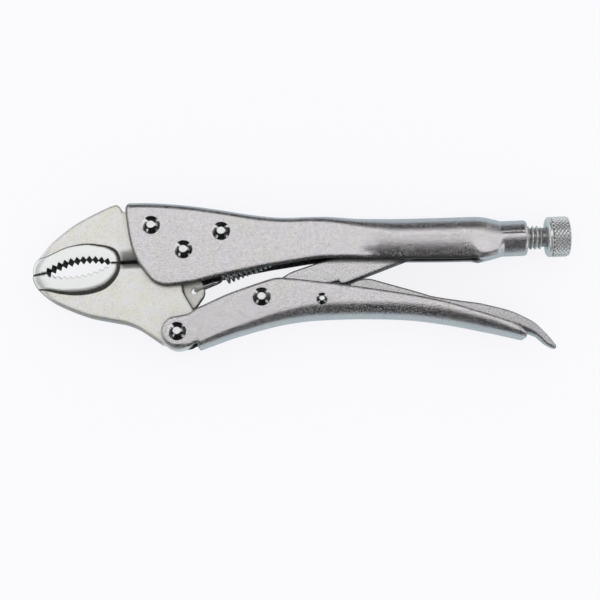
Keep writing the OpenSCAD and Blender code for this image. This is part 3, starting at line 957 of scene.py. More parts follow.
fixed_channel = Channel(
    1, steady(SHEET), fixed_back, fixed_bend, fixed_wide, fixed_lean, fixed_edge)
fixed_channel.curl = lambda x: 26 * ease(x, 79, 93) + 63.6 * ease(x, 132.5, 140)


def fixed_curl_bend(x):
    """The radius of the turned-in edge, from the height that it takes up along the handle."""
    height = 9.2 - 6.6 * ease(x, 131, 138.5) + (TUBE_RADIUS - 2.6) * ease(x, 145, 148.6)
    return height / np.maximum(np.sin(np.radians(fixed_channel.curl(x))), 0.4384)


fixed_channel.curl_bend = fixed_curl_bend
fixed_channel.closed = lambda x: ease(x, 134, 141)
print(f"the strip is {2 * fixed_channel.reach(40.0):.1f} mm wide at the middle of the handle "
      f"and {2 * fixed_channel.reach(155.0):.1f} mm wide at the tube")

# %% [markdown]
# The press leaves two marks of its own: a small dent where the sides start to lean in, and a fine
# line along each side of the tube. Both are pushed in after the fold, by moving points inwards.

# %% Marks of the press
DIMPLE = (85.0, -4.6)
DIMPLE_SIZE = (4.2, 2.4)
DIMPLE_DEPTH = 0.42
LINE_AT = 11.4
LINE_WIDTH = 0.28
LINE_DEPTH = 0.3


def fixed_fold(blank, depth, side):
    """The folded channel with the dent, and with the lines on the outside of the tube."""
    points = fixed_channel.fold(blank, depth, side)
    gap = np.hypot((points[:, 0] - DIMPLE[0]) / DIMPLE_SIZE[0], (points[:, 1] - DIMPLE[1]) / DIMPLE_SIZE[1])
    dent = DIMPLE_DEPTH * np.exp(-gap**2 * 1.6)
    line = LINE_DEPTH * np.exp(-((np.abs(blank[:, 1]) - LINE_AT) / LINE_WIDTH)**2)
    dent = dent + line * ease(blank[:, 0], SHOULDER, SHOULDER + 1) * (side > 0)
    points[:, 2] -= np.sign(points[:, 2]) * dent
    return points


# %% Outline of the fixed handle
SEAM_GAP = 0.06
front_line = smooth([
    [-16.3, -12.4], [-20.4, -6.4], [-23.2, -0.4], [-25.0, 7.2], [-26.3, 18.0]], 10)
front_rim = [(x, fixed_channel.across(x, y)) for x, y in front_line[::-1]]
top_rim = [(-25.0, 0.0), (-25.0, 4.0), (-25.6, 7.0), (-26.2, 9.6)]
edge_line = smooth(fixed_edge_line[:-1], 6)
edge_rim = [(x, fixed_channel.reach(x)) for x in edge_line[1:, 0] if x < 122]
tail = np.arange(122, TUBE_END, 1.0)
tail_rim = [(x, fixed_channel.reach(x)) for x in tail]
end_rim = [(TUBE_END, fixed_channel.reach(TUBE_END) - SEAM_GAP), (TUBE_END, 0.0)]
fixed_half = np.array(top_rim + front_rim + edge_rim + tail_rim + end_rim, float)
fixed_outline = spread(both_halves(fixed_half), 0.9)
fixed_stations = np.concatenate([
    np.arange(-27, 118, 1.5), np.arange(118, 133, 1.0), np.arange(133, 145, 0.5),
    np.arange(145, SHOULDER + 0.9, 0.3), np.arange(SHOULDER + 1.5, TUBE_END, 1.2)])
print("the outline has", len(fixed_outline), "points and the strip", len(fixed_stations), "rows")


# %% Fixed handle
def fixed_painted_shade(blank):
    """Painted shade along the cut front edge, and above the lip of the slot under the handle."""
    x = blank[:, 0]
    to_edge = fixed_channel.reach(x) - np.abs(blank[:, 1])
    slot = np.clip((2.0 - to_edge) / 0.7, 0, 1) * np.clip(to_edge / 0.3, 0, 1)
    slot = slot * ease(x, 78, 92) * (1 - ease(x, 137.5, 139.5))
    rim = np.clip(1.3 - distance(blank, fixed_outline) / 0.9, 0, 1) * (1 - ease(x, 76, 90))
    return np.maximum(0.95 * slot, 0.85 * rim)


line_rows = np.vstack([
    [x, sign * (LINE_AT + off)] for x in np.arange(SHOULDER + 0.3, TUBE_END, 0.8)
    for off in (-0.6, -0.3, 0.0, 0.3, 0.6) for sign in (1, -1)])
fixed_fill = np.vstack([line_rows, fixed_channel.points(fixed_stations, (3, 10, 8, 8, 4))])
fixed_mesh = stamp(
    "fixed_handle_shell", fixed_outline, fixed_fold, rim=0.42,
    fill=with_roll(fixed_fill, fixed_outline, 0.25), spacing=0.55, hidden_side=True,
    masks={"soot": fixed_painted_shade}, roll=(closed_line(fixed_outline), 1.7, 0.5))

# %% [markdown]
# Inside the channel a small tongue is lanced out of the back, and the spring hooks into its hole.

# %% Spring tongue
LUG_EYE = np.array([4.0, -18.8])
SPRING_ANGLE = math.radians(20.4)
SPRING_REACH = 52.0
spring_way = np.array([math.cos(SPRING_ANGLE), math.sin(SPRING_ANGLE)])
anchor = LUG_EYE + SPRING_REACH * spring_way
TONGUE_HALF = 2.6


def tongue_fold(blank, depth, side):
    x = anchor[0] + side * (SHEET / 2 - depth)
    return np.column_stack([x, anchor[1] + blank[:, 1], blank[:, 0]])


tongue_top = fixed_back(anchor[0]) - anchor[1] - SHEET / 2
tongue_outline = spread(np.array([
    [-TONGUE_HALF, -TONGUE_HALF], [TONGUE_HALF, -TONGUE_HALF],
    [TONGUE_HALF, tongue_top], [-TONGUE_HALF, tongue_top]]), 0.8)
tongue_mesh = stamp(
    "spring_tongue", tongue_outline, tongue_fold, rim=0.3,
    fill=grid(-3, 3, -3, tongue_top, 0.8), spacing=0.6, holes=[arc((0, 0), 0.9, 0, 345, 15)])
fixed_mesh = evened(join_meshes("fixed_handle_shell", [fixed_mesh, tongue_mesh]))
dress(fixed_mesh, "fixed_handle", "frame", plated_sheet)

# %% [markdown]
# ## The movable handle
# The lower handle is the same kind of channel turned over. Its two sides run on past the back as
# round ears, which hold the movable jaw between them.

# %% Movable handle
HANDLE_PIVOT = np.array([-4.0, -37.8])
EAR_RADIUS = 7.3
BACK_START = 5.3
moving_back = track([
    [-13, -48.0], [0, -47.9], [3, -47.0], [BACK_START, -46.0], [12.2, -43.8], [23, -40.5],
    [39.2, -36.7], [50.0, -35.1], [60.8, -34.4], [80.5, -34.5], [102.2, -35.9], [120.8, -38.9],
    [136.0, -42.3], [145.5, -44.5], [158, -47.6]])
moving_edge_line = np.array([
    [7, -26.6], [8.9, -25.9], [19.0, -21.7], [29.7, -18.2], [37.6, -15.9], [42.0, -14.9],
    [46, -15.0], [53.5, -16.0], [67.6, -18.2], [84.7, -21.2], [105.6, -25.3], [121.2, -29.3],
    [132.2, -33.0], [144.3, -37.3], [150.3, -39.8], [153.8, -42.2], [156.2, -44.8]])
moving_edge = track(np.vstack([[[-13, -31], [0, -29]], moving_edge_line]))
moving_bend = straight([
    [-13, 2.7], [BACK_START, 2.7], [12, 3.6], [30, 4.6], [50, 6.4], [60, 7.2], [120, 7.2],
    [140, 5.6], [149, 3.8], [153, 2.9], [158, 2.6]])
moving_channel = Channel(
    -1, steady(SHEET), moving_back, moving_bend, steady(half_handle), steady(0), moving_edge)

ear = arc(HANDLE_PIVOT, EAR_RADIUS, 278, 112, 26)
side_view = np.vstack([[[BACK_START, -43.5], [3.9, -43.7]], ear, smooth(moving_edge_line, 6)])
side_rim = [(x, moving_channel.across(x, y)) for x, y in side_view]
MOVING_END = moving_edge_line[-1, 0]
back_rim = [(BACK_START, 0.0)]
moving_half = np.array(back_rim + side_rim + [(MOVING_END, 0.0)], float)
moving_outline = spread(both_halves(moving_half), 0.9)
moving_fill = moving_channel.points(np.arange(-11, MOVING_END, 1.5), (3, 10, 9, 1, 1))
# A dark line of painted shade runs along the handle's rim.
moving_mesh = stamp(
    "movable_handle_shell", moving_outline, moving_channel.fold, rim=0.42,
    fill=with_roll(moving_fill, moving_outline), spacing=0.55, hidden_side=True,
    roll=(closed_line(moving_outline), 1.3, 0.42), dark_rim=(0.45, 0.6))
dress(evened(moving_mesh), "movable_handle", "lower_handle", plated_sheet)

# %% [markdown]
# ## The release lever
# The lever is a lighter channel that nests in the movable handle. Past the handle's tail it narrows
# to a pinched tongue, which a finger pushes to snap the jaws open.

# %% Release lever
lever_edge_line = np.array([
    [57.6, -24.5], [59.6, -21.6], [63, -20.6], [68, -20.8], [73, -20.4], [75.6, -18.9],
    [80.0, -17.1], [83.0, -16.5], [86.3, -16.9], [90.5, -18.2], [95.1, -19.7], [108.3, -24.0],
    [114.5, -26.1], [126.7, -28.5], [135.7, -30.1], [146.1, -32.8], [151.3, -34.6],
    [156.4, -37.1], [161.0, -39.9], [165.9, -44.9], [168.4, -48.0], [170.2, -50.6]])
lever_edge = track(lever_edge_line)
lever_back = track([
    [57.6, -30.4], [63, -31.0], [80, -31.3], [102, -32.4], [121, -35.6], [136, -39.0],
    [145.5, -41.2], [152, -42.8], [157.9, -44.8], [161.5, -46.4], [163.5, -48.4],
    [165.8, -50.3], [168.4, -51.7], [170.6, -52.35]])
lever_bend = straight([
    [57, 3.2], [63, 4.4], [140, 4.4], [156, 3.0], [164, 1.8], [167, 1.2], [171, 0.8]])
lever_narrow = track([[50, 1], [128, 1], [136, 0.97], [148, 0.80], [160, 0.56], [168, 0.40], [171, 0.36]])
lever_sheet = straight([[57, 1.5], [152, 1.5], [164, 1.1], [171, 0.6]])
lever_channel = Channel(
    -1, lever_sheet, lever_back, lever_bend, lambda x: half_lever * lever_narrow(x), steady(0),
    lever_edge)
lever_line = smooth(lever_edge_line, 5)
lever_rim = [(x, lever_channel.across(x, y)) for x, y in lever_line]
LEVER_START = lever_line[0, 0]
LEVER_END = lever_line[-1, 0]
lever_half = np.array([(LEVER_START, 0.0)] + lever_rim + [(LEVER_END, 0.0)], float)
lever_outline = spread(both_halves(lever_half), 0.8)
lever_fill = lever_channel.points(np.arange(LEVER_START, LEVER_END, 1.3), (3, 8, 8, 1, 1))
# The lever gets an even painted shade all over, and a dark line of painted shade along its rim.
lever_mesh = stamp(
    "release_lever_shell", lever_outline, lever_channel.fold, rim=0.25,
    fill=with_roll(lever_fill, lever_outline), spacing=0.5, hidden_side=True,
    masks={"soot": steady(0.13)}, roll=(closed_line(lever_outline), 1.0, 0.42), dark_rim=(0.4, 0.65))
dress(evened(lever_mesh), "release_lever", "lever", cut_plate)

# %% [markdown]
# ## The jaws
# Each jaw is a forging 10.8 mm thick. A pad round the bite stands proud of it and is ground bright,
# and it rounds off steeply at the nose. The rule for a jaw says how thick the steel is at any
# place: the body, the pad with its sloping step, the bosses round the pivots and the long bevels
# beside the split. The fill points are set closer along every step, so that it comes out crisp.

# %% Teeth
TOOTH_DEPTH = 1.8
PAD_RISE = 0.8
half_body = half_jaw - PAD_RISE
TOOTH_COUNT = 11
UPPER_ARC = ((-44.9, -38.3), 35.5, 121.8, 72.4)
LOWER_ARC = ((-53.1, 27.4), 37.4, 254.0, 300.3)


def teeth(centre, radius, start, end, depth):
    """Tips on an arc, with gullets between them on a larger one."""
    count = 2 * TOOTH_COUNT
    angle = np.radians(np.linspace(start, end, count + 1))
    reach = radius + depth * (np.arange(count + 1) % 2)
    return np.asarray(centre) + reach[:, None] * np.column_stack([np.cos(angle), np.sin(angle)])


print(f"{TOOTH_COUNT} teeth of {TOOTH_DEPTH} mm in a jaw {2 * half_jaw:.1f} mm thick over the pad")

# %% Jaw rules
BEVEL_DEPTH = 0.9
NOSE_DROP = 1.7
NOSE_REACH = 6.5


def nose_drop(points, line):
    """How far the steel falls away towards the nose."""
    gap = distance(points, line, closed=False)
    nose = 1 - ease(points[:, 0], -68.5, -60.0)
    return NOSE_DROP * nose * np.clip(1 - gap / NOSE_REACH, 0, 1)**2


def pad_share(points, pad, area, slope):
    """How far up the pad's step each point lies, from 0 outside the pad to 1 on top."""
    share = np.clip(distance(points, pad, False) / slope(points[:, 0]), 0, 1)
    return np.where(inside(points, area), share, 0)


def split_share(points, edge, reach):
    """The soft bevel beside the split behind the pad, which is lowered and given painted shade."""
    x, y = points.T
    return np.clip(1 - np.abs(y - edge) / reach, 0, 1) * ease(x, -30.5, -27.5) * ease(-x, 8, 14)


def soot(points, mouth, walls, share, bevel, strength=1.0):
    """Where painted shade goes: on the walls of the mouth, up the pad's step and on the bevel."""
    wall = (distance(points, mouth, False) < 0.12) * strength
    for line in walls:
        wall = np.maximum(wall, 1.0 * (distance(points, line, False) < 0.36))
    step = np.where(share > 0, np.clip(2.8 * (1 - share), 0, 1), 0)
    return np.maximum(np.maximum(wall, step), 0.9 * np.sqrt(bevel))


def ground(pad, area, slope):
    """The mask of the pad's top, which is ground bright."""
    return lambda points: np.clip(2 * pad_share(points, pad, area, slope) - 1, 0, 1)


def boss(points, centre, radius):
    """1 on top of a round boss and 0 beside it, with a short slope between."""
    gap = np.hypot(*(points - centre).T) - radius
    return np.clip(-gap / 0.4, 0, 1)


def flat_fold(height):
    """Turns a rule for half the thickness into a fold rule."""
    def fold(blank, depth, side):
        return np.column_stack([blank, side * (height(blank) - depth)])
    return fold


def jaw_fill(nose, pad):
    """Points for a jaw: rows along the pad's step and the nose, then an even grid."""
    steps = beside(pad, [-0.02, -0.25, -0.5, -0.75, -1.1, -1.6, 0.3, 0.7])
    rounds = beside(nose, [-0.6, -0.95, -1.4, -2.0, -2.7, -3.5])
    even = grid(-72, 25, -46, 25, 0.95)
    return settle_points(np.vstack([steps, rounds, even]), 0.24)


# %% Outline of the fixed jaw
JAW_PIVOT = np.array([0.0, 0.0])
FRONT_RIVET = np.array([-14.6, 12.0])
REAR_RIVET = np.array([17.7, 7.9])
BOSS_RADIUS = 9.5
TURN_GAP = 0.4
SEAT_Y = -4.45
BITE_GAP = 0.1

upper_nose = smooth([
    [-70.1, -8.9], [-70.34, -6.4], [-69.2, -3.0], [-66.6, 0.1], [-62.1, 5.1], [-56.2, 10.0],
    [-50.4, 14.1], [-42.6, 18.2], [-34.8, 21.7], [-32.2, 22.6], [-30.6, 22.8], [-29.0, 21.6],
    [-28.0, 19.4]], 5)
upper_teeth = teeth(*UPPER_ARC, TOOTH_DEPTH)
upper_back = [(x, float(fixed_back(x)) - SHEET - 1.4) for x in (-22, -12, -2, 8)]
upper_outline = np.vstack([
    upper_nose, upper_back, arc(REAR_RIVET, 6.4, 84, -84), [[11.5, 1.4]],
    arc(JAW_PIVOT, BOSS_RADIUS + TURN_GAP, 12, 190, 24), [[-14, -3.5], [-29.2, -4.0]],
    [[-29.8, SEAT_Y], [-33.4, SEAT_Y]], upper_teeth[::-1]])
upper_pad = smooth([
    [-74, -3.0], [-66.1, -0.9], [-63.8, -0.5], [-60.0, 1.1], [-54.9, 3.3], [-50.3, 4.4],
    [-46.5, 4.9], [-42.6, 4.8], [-38.8, 4.2], [-34.4, 3.2], [-31.4, 1.5], [-29.9, -1.2],
    [-29.4, -4.6], [-29.4, -12]], 5)
upper_slope = straight([[-74, 0.4], [-50, 0.55], [-37, 1.0], [-32, 2.0], [-28, 2.0]])
upper_pad_area = np.vstack([upper_pad, [[-74, -12]]])
upper_lip = np.array([[-63.8, -8.2], [-70.1, -8.9]])
upper_split = np.array([[-14, -3.5], [-29.2, -4.0], [-29.8, SEAT_Y], [-33.4, SEAT_Y]])
print("the outline has", len(upper_outline), "points and the pad's edge", len(upper_pad))


# %% Fixed jaw
def upper_bevel(points):
    return split_share(points, -4.0 + 0.033 * (points[:, 0] + 29.2), 5.2)


def upper_height(points):
    pad = pad_share(points, upper_pad, upper_pad_area, upper_slope)
    raised = np.maximum(pad, np.maximum(boss(points, FRONT_RIVET, 6.4), boss(points, REAR_RIVET, 5.8)))
    body = half_body - BEVEL_DEPTH * upper_bevel(points)
    return body + PAD_RISE * raised - nose_drop(points, upper_nose)


# Painted shade for the fixed jaw: the tooth walls, the split, the lip, the pad's step and the bevel.
def upper_painted_shade(points):
    share = pad_share(points, upper_pad, upper_pad_area, upper_slope)
    return soot(points, upper_teeth, [upper_split, upper_lip], share, upper_bevel(points))


upper_masks = {"ground": ground(upper_pad, upper_pad_area, upper_slope), "soot": upper_painted_shade}
upper_mesh = stamp(
    "fixed_jaw_forging", spread(turned_left(upper_outline), 0.6), flat_fold(upper_height), rim=0.30,
    fill=jaw_fill(upper_nose, upper_pad), spacing=0.25, masks=upper_masks,
    roll=(upper_nose, 1.3, 0.48))
dress(evened(upper_mesh), "fixed_jaw", "frame", forged_plate)

# %% [markdown]
# The movable jaw is made in the same way, with a wider step round its pad. Its outline runs on
# round the lower rivet and up the throat, the hollow behind the two pivots.

# %% Outline of the movable jaw
lower_nose = smooth([
    [-70.2, -9.2], [-70.34, -10.6], [-69.3, -13.4], [-67.2, -16.4], [-64.1, -19.4],
    [-60.2, -22.0], [-54.5, -24.9], [-48.7, -27.4], [-43.2, -29.3], [-32.7, -31.7],
    [-27.4, -33.0], [-22.1, -35.4], [-16.8, -39.1], [-11.8, -42.8]], 5)
lower_teeth = teeth(*LOWER_ARC, 0.75 * TOOTH_DEPTH)
lower_throat = smooth([
    [5.2, -31], [3.4, -26.9], [1.2, -22.9], [-0.6, -19.2], [-0.6, -14.5], [4, -9.4]], 4)
lower_outline = np.vstack([
    lower_nose, arc(HANDLE_PIVOT, 8.2, 222, 350, 14),
    lower_throat,
    arc(JAW_PIVOT, BOSS_RADIUS, -60, 207, 36), [[-14, -4.7], [-29.2, -5.0]],
    [[-29.8, SEAT_Y - BITE_GAP], [-33.6, SEAT_Y - BITE_GAP]],
    lower_teeth[::-1],
    [[-63.8, -8.2 - BITE_GAP], [-70.1, -8.9 - BITE_GAP]]])
lower_pad = smooth([
    [-76, -15.8], [-67, -15.9], [-64, -16.3], [-60.5, -17.2], [-57, -18.1], [-50.5, -18.9],
    [-43.5, -18.5], [-36.6, -16.3], [-32.2, -12.3], [-30, -8.2], [-29.6, -4.4], [-29.6, 0]], 5)
lower_slope = straight([[-76, 0.5], [-66, 0.8], [-56, 1.9], [-46, 2.7], [-38, 2.9], [-31, 2.2]])
lower_pad_area = np.vstack([lower_pad, [[-76, 0]]])
lower_lip = upper_lip - [0, BITE_GAP]
lower_split = np.array([
    [-14, -4.7], [-29.2, -5.0], [-29.8, SEAT_Y - BITE_GAP], [-33.6, SEAT_Y - BITE_GAP]])
print("the outline has", len(lower_outline), "points and the pad's edge", len(lower_pad))


# %% Movable jaw
def lower_bevel(points):
    return split_share(points, -5.0 + 0.02 * (points[:, 0] + 29.2), 2.6)


def lower_height(points):
    pad = pad_share(points, lower_pad, lower_pad_area, lower_slope)
    raised = np.maximum(pad, np.maximum(
        boss(points, JAW_PIVOT, BOSS_RADIUS - 0.3), boss(points, HANDLE_PIVOT, 6.2)))
    body = half_body - BEVEL_DEPTH * lower_bevel(points)
    return body + PAD_RISE * raised - nose_drop(points, lower_nose)


def lower_painted_shade(points):
    share = pad_share(points, lower_pad, lower_pad_area, lower_slope)
    painted_dark = soot(points, lower_teeth, [lower_split, lower_lip], share, lower_bevel(points), 0.3)
    # The throat line is painted shade where the jaw's wall meets the lug, and the underside line is painted
    # shade along the lower nose.
    throat = np.clip(1.6 - distance(points, lower_throat, False) / 0.6, 0, 1)
    underside = 0.5 * np.clip(1.4 - distance(points, lower_nose, False) / 0.8, 0, 1)
    return np.maximum(painted_dark, np.maximum(throat, underside))


lower_masks = {"ground": ground(lower_pad, lower_pad_area, lower_slope), "soot": lower_painted_shade}
lower_mesh = stamp(
    "movable_jaw_forging", spread(turned_left(lower_outline), 0.6), flat_fold(lower_height), rim=0.30,
    fill=jaw_fill(lower_nose[::-1], lower_pad[::-1]), spacing=0.25, masks=lower_masks,
    roll=(lower_nose, 1.3, 0.48))
print("the movable jaw has", len(lower_mesh.polygons), "faces before its lug is joined on")

# %% [markdown]
# Behind the throat the forging thins to a small lug, and the spring hooks into the hole in it.

# %% Spring lug
HALF_LUG = 2.3
lug_outline = smooth([
    [-2, -14], [4, -12.5], [7.6, -14.5], [8.9, -18.0], [8.6, -21.0], [6.7, -23.8],
    [4.0, -27.0], [0, -28]], 5)
# The lug gets a light painted shade all over and a dark line of painted shade along its rim, where the
# jaw's wall shades it.
lug_mesh = stamp(
    "spring_lug", spread(turned_left(lug_outline), 0.6), flat_fold(steady(HALF_LUG)), rim=0.35,
    fill=grid(-3, 10, -29, -11, 0.9), spacing=0.5, holes=[arc(LUG_EYE, 1.5, 0, 345, 23)],
    masks={"ground": steady(0), "soot": steady(0.12)}, dark_rim=(0.5, 0.85))
lower_mesh = evened(join_meshes("movable_jaw_forging", [lower_mesh, lug_mesh]))
dress(lower_mesh, "movable_jaw", "jaw", forged_plate)

# %% [markdown]
# ## The toggle link
# A cut plate joins the movable handle to the adjusting screw. Its rim is only broken, not rounded,
# and a dark line of painted shade runs along it where it turns towards the hand. Its end that works
# inside the fixed handle gets a painted shadow.

# %% Toggle link
LINK_PIVOT = np.array([35.3, -23.4])
LINK_EYE = 6.6
TOE = np.array([112.8, 0.4])
TOE_RADIUS = 5.1
half_link = 0.64 * (half_handle - SHEET)
link_outline = np.vstack([
    arc(LINK_PIVOT, LINK_EYE, 62, 305, 24),
    smooth([[43, -27.2], [52, -22.9], [60, -20.0], [67.8, -17.8], [71.0, -17.0]], 5),
    [[72.0, -18.4], [73.8, -18.5]], arc(TOE, TOE_RADIUS, -71.4, 105.4, 18),
    smooth([[62, -7.9], [54.8, -10.1], [49.0, -12.0], [44.4, -14.6]], 5)])
link_outline = spread(turned_left(link_outline), 0.9)


def link_painted_shadow(points):
    """Painted shadow of the fixed handle on the end of the link that works inside it."""
    x, y = points.T
    return 0.95 * np.clip((y - fixed_edge(x) + 2.3) / 1.5, 0, 1)


def link_height(points):
    inner_width = half_handle - SHEET - 0.3
    return half_link + (inner_width - half_link) * boss(points, LINK_PIVOT, LINK_EYE - 1.2)


link_fill = np.vstack([
    LINK_PIVOT + arc((0, 0), radius, 0, 350, 35) for radius in (4.8, 5.0, 5.4, 5.6)]
    + [grid(28, 120, -31, 7, 1.1)])
# A dark line of painted shade runs along the rim, and a painted shadow lies where the fixed handle covers
# the link.
link_mesh = stamp(
    "toggle_link_plate", link_outline, flat_fold(link_height), rim=0.40,
    fill=with_roll(link_fill, link_outline, 0.3), spacing=0.3, masks={"soot": link_painted_shadow},
    roll=(closed_line(link_outline), 1.0, 0.35), dark_rim=(0.5, 0.75))
dress(evened(link_mesh), "toggle_link", "link", cut_plate)

# %% [markdown]
# ## Shapes grown by Geometry Nodes
# Rivets, a thread, a knurl and a spring all follow a rule, so a node tree can grow them from a few
# named sizes. Each tree below is written with the same node sums as the finishes. A flat grid is
# bent into the shape: one side of it runs round the axis, the other along the profile. The result
# is taken as a plain mesh in tool millimetres and then set in its place.

# %% Geometry tree helpers
def new_growth(name, sizes):
    """A geometry tree with named sizes, and a dictionary of their sockets."""
    group = bpy.data.node_groups.new(name, "GeometryNodeTree")
    group.interface.new_socket("Geometry", in_out="OUTPUT", socket_type="NodeSocketGeometry")
    group.interface.new_socket("Geometry", in_out="INPUT", socket_type="NodeSocketGeometry")
    group.interface.new_socket("Finish", in_out="INPUT", socket_type="NodeSocketMaterial")
    for size, value in sizes.items():
        kind = "NodeSocketInt" if isinstance(value, int) else "NodeSocketFloat"
        group.interface.new_socket(size, in_out="INPUT", socket_type=kind).default_value = value
    tree = Tree(group)
    given = group.nodes.new("NodeGroupInput")
    return tree, {socket.name: Socket(tree, socket) for socket in given.outputs if socket.name}


def close_growth(tree, shape, sizes):
    """Ends a tree the way an export needs it: real geometry with its material set."""
    real = tree.add("GeometryNodeRealizeInstances", inputs={"Geometry": shape})
    finished = tree.add("GeometryNodeSetMaterial", inputs={"Geometry": real, "Material": sizes["Finish"]})
    tree.nodes.links.new(finished.output, tree.nodes.nodes.new("NodeGroupOutput").inputs["Geometry"])
    return tree.nodes


def grow(name, group, finish, base=None, **sizes):
    """Runs a tree and returns the plain mesh that it grew."""
    holder = bpy.data.objects.new(name + "_holder", base or bpy.data.meshes.new(name))
    bpy.context.scene.collection.objects.link(holder)
    modifier = holder.modifiers.new("growth", "NODES")
    modifier.node_group = group
    for socket in group.interface.items_tree:
        if socket.in_out == "INPUT" and socket.name == "Finish":
            modifier[socket.identifier] = finish
        elif socket.in_out == "INPUT" and socket.name in sizes:
            modifier[socket.identifier] = sizes[socket.name]
    return taken(holder)


# %% Bend a grid
def bent_grid(tree, rows, columns):
    """A flat grid, with its two coordinates counted from 0 to 1."""
    flat = tree.add("GeometryNodeMeshGrid", inputs={
        "Size X": 1.0, "Size Y": 1.0, "Vertices X": rows, "Vertices Y": columns})
    spot = tree.add("GeometryNodeInputPosition")
    split = tree.add("ShaderNodeSeparateXYZ", inputs={"Vector": spot})
    second = Socket(tree, split.output.node.outputs["Y"])
    return flat, split + 0.5, second + 0.5


def turned(tree, flat, x, radius, turn):
    """Bends a grid round the X axis."""
    y = radius * turn.math("COSINE", turn)
    z = radius * turn.math("SINE", turn)
    where = tree.add("ShaderNodeCombineXYZ", inputs={"X": x, "Y": y, "Z": z})
    bent = tree.add("GeometryNodeSetPosition", inputs={"Geometry": flat, "Position": where})
    return tree.add("GeometryNodeMergeByDistance", inputs={"Geometry": bent, "Distance": 0.0005})


def part_way(value, start, end):
    """Goes from 0 to 1 while the value goes from start to end."""
    inputs = {"Value": value, "From Min": start, "From Max": end}
    return value.tree.add("ShaderNodeMapRange", inputs=inputs)


def set_in_place(mesh, centre, turn=None):
    """Moves a mesh in tool millimetres to its place in the frame."""
    place_it = Matrix.Translation(Vector(place(centre))) @ Matrix.Scale(MM, 4)
    mesh.transform(place_it @ (turn or Matrix.Identity(4)))
    tidy_mesh(mesh)
    return mesh


# %% [markdown]
# ## Rivets
# A rivet head is a shallow dome with a small flat where the hammer struck. Its profile runs from
# the middle of the head, over the dome and under it, to the middle of the shank. The other half is
# the same profile mirrored.

# %% Rivets
HEAD_FLAT = 0.42
HEAD_RIM = 0.16
HEAD_SLOPE = 0.85

tree, size = new_growth("rivet_growth", {"Radius": 4.25, "Height": 1.5, "Shank": 2.6, "Reach": 8.8})
flat, along, around = bent_grid(tree, 41, 49)
dome = part_way(along, 0.1, 0.7)
centre_flat = size["Radius"] * HEAD_FLAT
rim = size["Height"] * HEAD_RIM
radius = (centre_flat * part_way(along, 0.0, 0.1)
          + (size["Radius"] - centre_flat) * dome
          - (size["Radius"] - size["Shank"]) * part_way(along, 0.75, 0.8))
axis = (size["Reach"] + rim * (1 - part_way(along, 0.7, 0.75))
        + (size["Height"] - rim) * (1 - dome * (HEAD_SLOPE + (1 - HEAD_SLOPE) * dome))
        - size["Reach"] * part_way(along, 0.8, 1.0))
half = turned(tree, flat, axis, radius, around * (2 * math.pi))
mirrored = tree.add("GeometryNodeTransform", inputs={"Geometry": half, "Scale": (-1, 1, 1)})
both = tree.add("GeometryNodeJoinGeometry")
tree.nodes.links.new(half.output, both.output.node.inputs[0])
tree.nodes.links.new(mirrored.output, both.output.node.inputs[0])
rivet_growth = close_growth(tree, both, size)

LEVER_PIVOT = np.array([63.0, -25.4])
RIVETS = [
    ("fixed_jaw_rivet_front", FRONT_RIVET, "frame", 4.25, 1.5, 2.6, 20),
    ("fixed_jaw_rivet_rear", REAR_RIVET, "frame", 4.25, 1.5, 2.6, 70),
    ("jaw_pivot_rivet", JAW_PIVOT, "frame", 4.25, 1.5, 2.6, 130),
    ("jaw_handle_rivet", HANDLE_PIVOT, "lower_handle", 4.25, 1.5, 2.6, 200),
    ("link_rivet", LINK_PIVOT, "lower_handle", 4.25, 1.5, 2.6, 260),
    ("lever_rivet", LEVER_PIVOT, "lower_handle", 2.7, 0.98, 1.6, 310),
]
for node, at, body, radius, high, shank, spin in RIVETS:
    mesh = grow(node + "_head", rivet_growth, bright_rivet,
                Radius=radius, Height=high, Shank=shank, Reach=half_handle)
    upright = Matrix.Rotation(math.radians(-90), 4, "Y") @ Matrix.Rotation(math.radians(spin), 4, "X")
    set_in_place(mesh, (*at, 0), upright)
    dress(evened(mesh), node, body, bright_rivet)

# %% [markdown]
# ## The adjusting screw
# A thread is a helix: how far out the surface stands depends on the distance along the screw less
# the share of a pitch that the turn has used up. The screw turns with its knob and winds itself
# along the tube, so the threaded piece rides on the knob's body.

# %% Adjusting screw
PITCH = 2.1
THREAD_RADIUS = 5.55
THREAD_DEPTH = 1.15
NOSE_X = TOE[0] + TOE_RADIUS + 3.5
KNOB_START = 169.0
KNOB_END = 179.6
SCREW_RUNOUT = 166.9

tree, size = new_growth("thread_growth", {
    "Start": NOSE_X, "End": KNOB_START + 1.5, "Runout": SCREW_RUNOUT,
    "Pitch": PITCH, "Outer": THREAD_RADIUS, "Depth": THREAD_DEPTH})
flat, along, around = bent_grid(tree, 401, 49)
x = size["Start"] + (size["End"] - size["Start"]) * part_way(along, 0.005, 0.995)
phase = tree.add("ShaderNodeMath", {"operation": "FRACT"}, {0: x / size["Pitch"] + around})
slope = tree.add("ShaderNodeMath", {"operation": "ABSOLUTE"}, {0: phase - 0.5})
crest = part_way(slope, 0.10, 0.38)
fade_in = part_way(x, size["Start"] + 0.6, size["Start"] + 1.8)
fade_out = 1 - part_way(x, size["Runout"] - 0.8, size["Runout"])
groove = 1 - (1 - crest) * fade_in * fade_out
ends = part_way(along, 0.0, 0.005) * (1 - part_way(along, 0.995, 1.0))
radius = (size["Outer"] - size["Depth"] * groove) * ends
